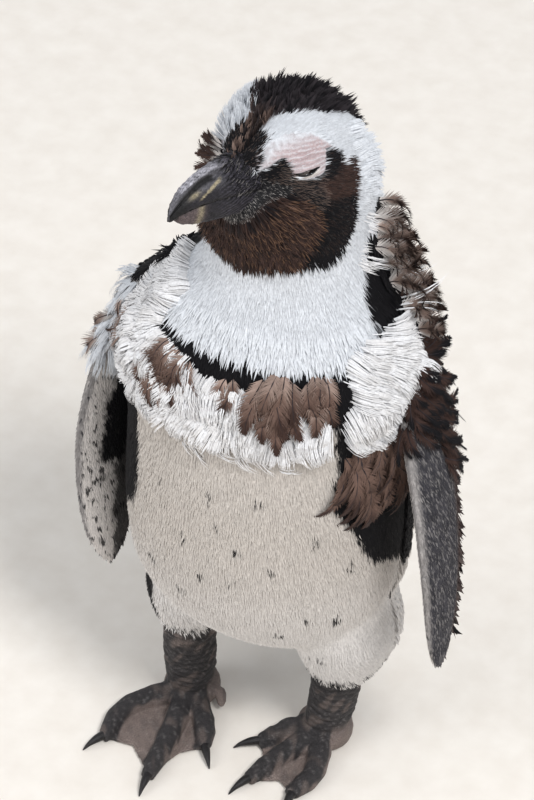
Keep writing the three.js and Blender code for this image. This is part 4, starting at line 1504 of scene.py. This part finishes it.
class PENGUIN_OT_coats(Operator):
    """Short feathers over the body, head, flippers and trousers"""

    bl_idname = "penguin.coats"
    bl_label = "Short coats"

    def execute(self, context):
        group = context.scene.penguin_coat
        plan, masks = STUDIO["ground"].plan, STUDIO["masks"]
        body, flipper = plan.on_part("body"), plan.on_part("flipper")
        headish = body & (plan.z > HEAD_FROM)
        feathered = headish & (masks["bare"] < 0.4)
        notch = (plan.ahead > 20) & (plan.lift < 58)
        trunk = body & (plan.z <= HEAD_FROM) & (plan.z > 60)
        low = trunk & (plan.z < BELLY_TOP)
        front = np.abs(plan.side) < FRONT_HALF
        right = plan.side < 0
        for side, pick in (("left", ~right), ("right", right)):
            short_coat(f"coat_belly_{side}", "plumage_pale", low & front & pick, group.belly,
                       (7.5, 1.7), (78, 86), 11 + len(side), **FLAT)
            short_coat(f"coat_back_{side}", "plumage_dark", trunk & ~front & pick, group.back,
                       (13.0, 2.6), (60, 95), 31 + len(side), ridge=0.16)
        bib = trunk & (plan.z >= BELLY_TOP) & front
        short_coat("coat_bib", "plumage_pale", bib, group.bib, (7.0, 1.4), (77, 84), 51, **FLAT)
        hem = bib & (plan.z > 364) & (plan.z < 380)
        short_coat("coat_bib_hem", "plumage_pale", hem, group.bib * 1.3, (13.0, 1.2), (72, 92), 52,
                   ridge=0.16)
        cap = feathered & (masks["cap"] > 0.5)
        rest = feathered & ~cap
        dark = rest & (masks["face"] > 0.5)
        beard = dark & (masks["beard"] > 0.5)
        chin = dark & ~beard & (masks["jaw"] > 0.5)
        lores = dark & ~beard & ~chin & (plan.ahead > 24)
        short_coat("coat_brow", "plumage_pale", rest & ~dark & ~notch, group.face, (5.5, 1.1),
                   (75, 83), 61, **FLAT)
        other = dark & ~beard & ~chin & ~lores
        under = other & (plan.ahead > 2) & (plan.up < 12) & (plan.up > -14)
        short_coat("coat_face", "plumage_dark", other & ~under, group.face, (4.2, 1.0),
                   (70, 82), 62, tip=("faded", 0.2, 0.3), scatter=0.2, spread=0.15, ridge=0.15,
                   sink=0.15, **ONE_RING)
        short_coat("coat_cheek", "plumage_dark", under, group.face * 0.85, (3.4, 0.6),
                   (66, 82), 60, tip=("dusty", 0.6, 0.55), scatter=0.2, ridge=0.25, sink=0.15,
                   **ONE_RING)
        short_coat("coat_lores", "plumage_dark", lores, group.face * 0.9, (4.6, 0.6), (66, 88), 65,
                   tip=("dusty", 0.45, 0.4), scatter=0.2, ridge=0.2)
        short_coat("coat_chin", "plumage_dark", chin, group.face * 0.85, (2.6, 0.5), (58, 80), 66,
                   tip=("pearl", 0.6, 0.4), ridge=0.25, **ONE_RING)
        short_coat("coat_beard", "plumage_dark", beard, group.face * 0.8, (11.0, 0.8), (52, 94), 67,
                   tip=("amber", 0.8, 0.4), swirl=0.25, spread=0.2, ridge=0.16, specks=0.0)
        short_coat("coat_crown", "plumage_dark", cap, group.face * 1.2, (5.0, 1.1), (55, 85), 64,
                   swirl=0.3, spread=0.1, scatter=0.2, ridge=0.2, **ONE_RING)
        points, faces, owner, roots = locks(cap & (masks["cap"] > 0.9), 2.7, 6, 1.1, 1.0, (8.5, 1.0),
                                            (14, 56), 0, 63, 0.3, 1.2)
        inks, random = STUDIO["inks"], np.random.default_rng(68)
        brow = ease(8, 20, off_head(roots)[:, 0])
        tones = blend(np.tile(inks.crown, (len(roots), 1)), inks.black, random.random(len(roots)))
        worn = brow * random.random(len(roots))
        tones = blend(blend(tones, inks.faded, worn), inks.dusty, 0.7 * worn ** 3)
        tones = ragged(tones[owner], random, 0.1)
        feather_piece("crown_tufts", (points, faces), tones, roots[owner])
        base = STUDIO["bill"].plan
        base = base.ahead < 44 + 3 * waves(base.points, 5, 82) + 4 * ease(2, 10, base.up)
        short_coat("bristles_bill", "plumage_dark", base, group.face * 0.95, (5.0, 0.6), (80, 84), 83,
                   tip=("pearl", 0.55, 0.12), heading=base_heading, scatter=0.1, on="bill",
                   ridge=0.2, **ONE_RING)
        bare = headish & (masks["bare"] > 0.4)
        short_coat("bristles_bare", "plumage_pale", bare, group.face * 2.2, (2.2, 0.3), (74, 85), 69,
                   tip=("bare", 0.4, 0.6), spread=0.1, scatter=0.2, ridge=0.2, sink=0.15, **ONE_RING)
        for side in SIDES:
            on = flipper & plan.flipper[side][0]
            if side == "left":
                _, share, chord, _ = plan.flipper[side]
                rim = on & (chord > 0.8 * through(FLIPPER, share)[:, 0]) & (share < 0.9)
                short_coat("flipper_fringe", "plumage_dark", rim, 0.0024, (12.5, 3.2), (76, 66), 81,
                           tip=("brown", 0.9, 1.0), heading=fringe_heading, swirl=0.3, spread=0.14,
                           ridge=0.15, **THREE_RINGS)
            short_coat(f"coat_flipper_{side}", "plumage_dark", on, group.flipper, (3.8, 1.7), (76, 84),
                       71 + len(side), ridge=0.16, sink=0.15, scatter=0.3, **ONE_RING)
        return {"FINISHED"}


# ---------- ruff of loose old feathers ----------


def shafts(roots, normals, flow, length, stand, rest, swirl, steps):
    """Middles of the steps along each curled shaft, with its run, its vane's upward and its side.
    The angle from the skin's normal goes evenly from stand to rest, and it swings by swirl."""
    share = (np.arange(steps) + 0.5)[None, :, None] / steps
    wide = lambda value: np.broadcast_to(np.asarray(value, float), (len(roots),))[:, None, None]
    tilt = wide(stand) + (wide(rest) - wide(stand)) * share
    turn = wide(swirl) * share
    cross = np.cross(normals, flow)
    normal, ahead, cross = normals[:, None], flow[:, None], cross[:, None]
    head = ahead * np.cos(turn) + cross * np.sin(turn)
    run = normal * np.cos(tilt) + head * np.sin(tilt)
    upward = normal * np.sin(tilt) - head * np.cos(tilt)
    side = cross * np.cos(turn) - ahead * np.sin(turn)
    at = roots[:, None] + np.cumsum(run, axis=1) * wide(length) / steps
    return at, run, upward, side


# Angles from the vane's upward at which a barb leaves the shaft and ends.
BARB_CUP = np.radians([86.0, 100.0])


def plumes(roots, normals, flow, length, width, stand, rest, swirl, steps, random, loose=0.035):
    """Feathers of separate barbs: at each step of a shaft one barb to each side, swept from 44
    degrees off the shaft at the root to 12 at the tip, as long as a rounded vane there."""
    count = len(roots)
    at, run, upward, side = shafts(roots, normals, flow, length, stand, rest, swirl, steps)
    share = (np.arange(steps) + 0.5)[None, :, None] / steps
    sweep = np.radians(44 - 32 * share ** 1.2)
    round_vane = np.sin(np.pi * np.clip(share * 0.86 + 0.14, 0, 1) ** 0.8) ** 0.55 + 0.12
    places, ups, heads, longs, shares = [], [], [], [], []
    for sign in (-1.0, 1.0):
        jitter = random.normal(0, loose, (count, steps, 1))
        angle = sweep + jitter
        heads.append(run * np.cos(angle) + sign * side * np.sin(angle))
        ups.append(unit(upward + loose * random.normal(size=(count, steps, 3))))
        places.append(at)
        long = np.broadcast_to(np.asarray(width, float), (count,))[:, None, None] * 0.85 * round_vane
        longs.append(long * random.uniform(0.9, 1.06, (count, steps, 1)))
        shares.append(np.broadcast_to(share, (count, steps, 1)))
    flat = lambda values: np.concatenate(values, 1).reshape(-1, values[0].shape[-1])
    places, ups, heads, longs, shares = map(flat, (places, ups, heads, longs, shares))
    barb = np.broadcast_to(np.asarray(length, float), (count,)) / steps * 1.5
    wide = np.tile(barb[:, None], (1, 2 * steps)).ravel()
    blades = vanes(places, ups, laid(heads, ups), longs[:, 0], wide, *BARB_CUP,
                   random.normal(0, 0.1, len(places)), sink=0.0, ridge=0.1, **ONE_RING)
    return blades, np.repeat(np.arange(count), 2 * steps), shares[:, 0]


# Rows of loose old feathers on the trunk: inks at the root, middle and tip; bearings; heights;
# spacing; length and width; angles from the skin at root and tip; swing; heading as a turn from
# straight down; steps along the shaft. Angles in degrees.
RUFF = {
    "ruff_brown": [
        (("dusty", "dusty", "brown"), (-160, -150), (328, 338), 5.2, (18, 10), (30, 120), 60, -24, 27),
        (("dusty", "faded", "brown"), (-135, -113), (326, 352), 4.6, (21, 10), (36, 125), 25, -6, 27),
        (("dusty", "faded", "brown"), (-76, -60), (336, 358), 3.8, (26, 10), (34, 124), 0, 0, 30),
        (("dusty", "faded", "brown"), (-54, -44), (342, 358), 4.0, (18, 9), (36, 124), 0, -12, 24),
        (("dusty", "faded", "brown"), (-93, -86), (342, 350), 4.6, (15, 9), (40, 120), 0, 0, 24),
        (("faded", "faded", "brown"), (-36, 2), (272, 308), 4.4, (38, 10), (56, 122), -46, 16, 36),
        (("pearl", "dusty", "brown"), (6, 34), (344, 434), 6.4, (19, 10), (40, -80), 50, 55, 27),
    ],
    "ruff_dark": [
        (("brown", "brown", "black"), (-4, 40), (286, 352), 5.6, (20, 9), (62, 70), 30, 20, 21),
        (("brown", "brown", "black"), (26, 150), (336, 396), 6.6, (24, 12), (68, 74), 20, 0, 24),
    ],
}
# Rows of silky white down: bearings, heights, spacing of locks, fibres in each, length, angles from
# the skin at root and tip, heading, waver. The first ones are smooth rolls, the rest are loose.
ROLLED = 5
DOWN = [
    ((-172, -136), (348, 382), 3.2, 11, 25, (26, 160), -50, 0.5),
    ((-168, -104), (308, 352), 3.4, 11, 27, (24, 168), -12, 0.5),
    ((-122, -45), (313, 346), 3.2, 11, 28, (20, 172), 4, 0.5),
    ((-36, 2), (334, 368), 3.2, 11, 28, (22, 160), 40, 0.5),
    ((-38, 2), (310, 344), 3.2, 11, 30, (20, 172), 28, 0.5),
    ((-12, 3), (402, 446), 7.5, 9, 13, (60, 70), 20, 0.4),
    ((-112, -60), (290, 304), 13.0, 8, 20, (50, 120), 50, 0.8),
    ((4, 30), (330, 384), 15.0, 4, 36, (20, 100), 60, 0.8),
]


def inside_patch(plan, bearings, heights):
    """Points of the body in a rounded patch of bearings and heights."""
    (start, end), (low, high) = bearings, heights
    off = np.abs((plan.bearing - (start + end) / 2 + 180) % 360 - 180) / ((end - start) / 2)
    rise = np.abs(plan.z - (low + high) / 2) / ((high - low) / 2)
    return (off ** 4 + rise ** 4 < 1) & plan.on_part("body")


def turned(flow, normals, degrees):
    """A flow in the skin, turned about the skin's normal."""
    flow = laid(flow, normals)
    angle = np.radians(degrees)[:, None]
    return flow * np.cos(angle) + np.cross(normals, flow) * np.sin(angle)


def plume_tones(inks, names, owner, share, random):
    """Root ink to middle ink to tip ink along each feather, each feather a little different."""
    root, middle, tip = (getattr(inks, name) for name in names)
    count = owner.max() + 1
    shade = 1 + 0.12 * random.normal(size=count)
    change = random.normal(0, 0.08, count)
    tone = np.tile(root, (len(owner), 1))
    tone = blend(tone, middle, ease(0.1, 0.4, share + change[owner]))
    tone = blend(tone, tip, ease(0.45, 0.75, share + change[owner]))
    barb = 1 + 0.07 * random.normal(size=(len(owner), 1))
    return np.clip(tone * shade[owner, None] * barb, 0.002, 0.9)


class PENGUIN_OT_ruff(Operator):
    """Loose curled feathers round the shoulders, chest and neck"""

    bl_idname = "penguin.ruff"
    bl_label = "Ruff"

    def execute(self, context):
        inks, ground = STUDIO["inks"], STUDIO["ground"]
        plan = ground.plan
        sets, random = [], np.random.default_rng(190)
        for row, (bearings, heights, gap, fibres, long, angles, heading, waver) in enumerate(DOWN):
            where = inside_patch(plan, bearings, heights)
            points, faces, owner, roots = locks(where, gap, fibres, 2.4, 0.05, (long, 0.6), angles,
                                                heading, 191 + row, waver, 0.25 if row < ROLLED else 1.0)
            # The down ink is lighter than the white as painted light, against the shade among the
            # fibres.
            tone = np.tile(inks.down, (len(roots), 1))
            tone = blend(tone, inks.cream, 0.3 * random.random(len(roots)))
            sets.append((points, ragged(tone[owner], random, 0.03), roots[owner]))
        share, chord = plan.flipper["right"][1:3]
        spots = {
            "shoulder": (plan.flipper["right"][0] & (share > 0) & (share < 0.24), 3.2, 24,
                         (45, 120), -8),
            "brow": ((plan.beside < -9) & (plan.lift > 40) & (plan.ahead > -8) & (plan.ahead < 27)
                     & (STUDIO["masks"]["cap"] < 0.5) & (plan.z > 470), 2.6, 9, (25, 60), 0),
            "nape": ((plan.beside > 15) & (plan.ahead < -20) & (plan.z > 446) & (plan.lift < 44)
                     & plan.on_part("body"), 3.6, 12, (62, 86), 0),
        }
        for seed, (where, gap, long, angles, heading) in enumerate(spots.values()):
            points, faces, owner, roots = locks(where, gap, 9, 1.6, 0.4, (long, 0.7), angles, heading,
                                                230 + seed, 0.3, 0.4)
            tone = np.tile(inks.white, (len(roots), 1))
            sets.append((points, ragged(tone[owner], random, 0.05), roots[owner]))
        shares = {"right": sets[:2], "front": sets[2:3], "left": sets[3:]}
        for name, chosen in shares.items():
            feather_sets(f"ruff_down_{name}", chosen, faces)
        shoulder = plan.flipper["right"][0] & (share > 0.04) & (share < 0.2)
        _, low, back, _ = plan.flipper["left"]
        shag = plan.flipper["left"][0] & (low < 0.18 + 0.16 * ease(-10, 12, back))
        far = (plan.beside < -12) & (plan.ahead > 24) & (plan.ahead < 33)
        far = far & (plan.up > 0) & (plan.up < 13)
        extra = {
            "ruff_brown": [
                (("pearl", "brown", "brown"), far, 3.2, (13, 6.5), (30, 66), 0, 0, 24),
                (("pearl", "dusty", "brown"), shoulder & (chord < 0), 7.5, (17, 9), (30, 130), 0,
                 -10, 24),
            ],
            "ruff_dark": [(("brown", "brown", "black"), shag, 5.2, (17, 8), (66, 76), 20, 10, 20)],
        }
        quills = []
        for index, (name, rows) in enumerate(RUFF.items()):
            random = np.random.default_rng(200 + index)
            rows = [(row[0], inside_patch(plan, row[1], row[2]), *row[3:]) for row in rows]
            rows += extra[name]
            sets = []
            for row, (names, where, gap, size, angles, swing, heading, steps) in enumerate(rows):
                roots, normals = ground.plant(where, gap, 210 + 10 * index + row)
                vary = lambda amount: random.normal(0, amount, len(roots))
                flow = turned(lie(roots), normals, heading + vary(18.0))
                curl = (size[0] * (1 + vary(0.13)), np.radians(angles[0]) + vary(0.12),
                        np.radians(angles[1]) + vary(0.2), np.radians(swing) + vary(0.25))
                blades, owner, share = plumes(roots, normals, flow, curl[0],
                                              size[1] * (1 + vary(0.12)), *curl[1:], steps, random)
                shaft = vanes(roots + 0.35 * normals, normals, flow, curl[0], 0.8, *curl[1:], sink=0.0,
                              rings=(0.0, 0.25, 0.5, 0.75), shape=(1.0, 0.85, 0.6, 0.4), ridge=0.5)
                tones = ragged(np.tile(inks.crown, (len(roots), 1)), random, 0.2)
                quills.append((shaft[0], tones, roots))
                tones = plume_tones(inks, names, owner, share, random)
                sets.append((blades[0], tones, roots[owner]))
            feather_sets(name, sets, blade_faces(1))
        feather_sets("ruff_shafts", quills, blade_faces(4))
        return {"FINISHED"}


# ---------- tail ----------

TAIL_VANES = 17


class PENGUIN_OT_tail(Operator):
    """Stiff tail feathers fanned over the wedge of the tail"""

    bl_idname = "penguin.tail"
    bl_label = "Tail"

    def execute(self, context):
        inks, random = STUDIO["inks"], np.random.default_rng(300)
        start, end = np.array(TAIL[1][:3], float), np.array(TAIL[-1][:3], float)
        run = unit(end - start)
        above = np.array([0.0, run[2], -run[1]])
        above = above * np.sign(above[1])
        layer = np.repeat([0, 1], [TAIL_VANES, TAIL_VANES - 1])
        fan = np.concatenate([np.linspace(-1, 1, TAIL_VANES), np.linspace(-0.9, 0.9, TAIL_VANES - 1)])
        roots = start + np.outer(fan * 26, [1, 0, 0]) + np.outer(5.5 - 5 * layer - 3.0 * fan ** 2, above)
        flow = unit(run + np.outer(-0.30 * fan, [1.0, 0, 0]))
        normals = unit(above - flow * (flow @ above)[:, None])
        length = 62 - 16 * np.abs(fan)
        blades, owner, share = plumes(roots, normals, flow, length, 8.5, np.radians(90), np.radians(92),
                                      random.normal(0, 0.03, len(roots)), 60, random, loose=0.03)
        tones = plume_tones(inks, ("black", "black", "crown"), owner, share, random)
        feather_piece("tail_vanes", blades, tones, roots[owner])
        return {"FINISHED"}


# ---------- stage ----------

FLOOR_REACH = 6.0
FLOOR_COLOURS = tint(233, 226, 217), tint(240, 234, 226)
SKY_COLOUR, SKY_STRENGTH = (0.93, 0.96, 1.0, 1), 0.61
# Lamps: watts, size and place, all aimed at one point.
LAMPS = {"key": (134, 1.2, (2.3, -1.25, 3.9)), "fill": (23, 1.8, (-1.6, -1.8, 1.3))}
LAMP_TARGET = (0, 0, 0.3)
# Camera: bearing from the front and height angle, distance, aim in millimetres, sensor and lens.
VIEW_AZIMUTH, VIEW_ELEVATION = np.radians([28.0, 42.0])
VIEW_DISTANCE = 1.9
VIEW_TARGET = np.array([3.4, 1.8, 278.1])
SENSOR_WIDTH, LENS = 36.0, 145.35


class PENGUIN_OT_stage(Operator):
    """Pale floor, soft lights and the camera"""

    bl_idname = "penguin.stage"
    bl_label = "Stage"

    def execute(self, context):
        scene = context.scene
        scene.view_settings.view_transform = "Standard"
        mesh = bpy.data.meshes.new("floor")
        corners = [(-1, -1, 0), (1, -1, 0), (1, 1, 0), (-1, 1, 0)]
        mesh.from_pydata(np.array(corners) * FLOOR_REACH, [], [(0, 1, 2, 3)])
        floor = bpy.data.objects.new("floor", mesh)
        scene.collection.objects.link(floor)
        made = Finish("floor", Roughness=0.9, Specular_IOR_Level=0.1)
        grain = made.noise(0.02, 4)
        mesh.materials.append(made.surface(
            Base_Color=made.ramp(grain, (0.3, FLOOR_COLOURS[0]), (0.7, FLOOR_COLOURS[1]))
        ))
        world = bpy.data.worlds.new("studio")
        scene.world = world
        world.use_nodes = True
        sky = world.node_tree.nodes["Background"]
        sky.inputs["Color"].default_value = SKY_COLOUR
        sky.inputs["Strength"].default_value = SKY_STRENGTH
        for name, (energy, size, at) in LAMPS.items():
            lamp = bpy.data.lights.new(name, "AREA")
            lamp.energy, lamp.size = energy, size
            lamp_piece = bpy.data.objects.new(name, lamp)
            scene.collection.objects.link(lamp_piece)
            lamp_piece.location = at
            aim = Vector(LAMP_TARGET) - lamp_piece.location
            lamp_piece.rotation_euler = aim.to_track_quat("-Z", "Y").to_euler()
        level = np.cos(VIEW_ELEVATION)
        back = Vector((np.sin(VIEW_AZIMUTH) * level, -np.cos(VIEW_AZIMUTH) * level,
                       np.sin(VIEW_ELEVATION)))
        right = Vector((np.cos(VIEW_AZIMUTH), np.sin(VIEW_AZIMUTH), 0))
        up = back.cross(right)
        target = Vector(place(VIEW_TARGET))
        data = bpy.data.cameras.new("camera")
        data.sensor_width = SENSOR_WIDTH
        data.lens = LENS
        data.clip_start = 0.05
        camera = bpy.data.objects.new("camera", data)
        scene.collection.objects.link(camera)
        turn = Matrix((right, up, back)).transposed().to_4x4()
        camera.matrix_world = Matrix.Translation(target + back * VIEW_DISTANCE) @ turn
        scene.camera = camera
        return {"FINISHED"}


GROUPS = {
    "penguin_plumage": PenguinPlumage, "penguin_skin": PenguinSkin, "penguin_horn": PenguinHorn,
    "penguin_coat": PenguinCoat,
}
STEPS = (PENGUIN_OT_skin, PENGUIN_OT_horn, PENGUIN_OT_coats, PENGUIN_OT_ruff,
         PENGUIN_OT_tail, PENGUIN_OT_stage)


class PENGUIN_PT_panel(Panel):
    """The bird's pieces, in the order that they are made"""

    bl_label = "Penguin"
    bl_space_type = "VIEW_3D"
    bl_region_type = "UI"
    bl_category = "Penguin"

    def draw(self, context):
        for name, group in GROUPS.items():
            box = self.layout.box()
            for key in group.__annotations__:
                box.prop(getattr(context.scene, name), key)
        for step in STEPS:
            self.layout.operator(step.bl_idname)


def register():
    """Adds the property groups, operators and panel."""
    for made in (*GROUPS.values(), *STEPS, PENGUIN_PT_panel):
        bpy.utils.register_class(made)
    for name, group in GROUPS.items():
        setattr(bpy.types.Scene, name, PointerProperty(type=group))


def unregister():
    """Takes them away again."""
    for name in GROUPS:
        delattr(bpy.types.Scene, name)
    for made in reversed((*GROUPS.values(), *STEPS, PENGUIN_PT_panel)):
        bpy.utils.unregister_class(made)


def main():
    """Makes every piece in order."""
    register()
    bpy.ops.penguin.skin()
    bpy.ops.penguin.horn()
    bpy.ops.penguin.coats()
    bpy.ops.penguin.ruff()
    bpy.ops.penguin.tail()
    bpy.ops.penguin.stage()


if __name__ == "__main__":
    main()
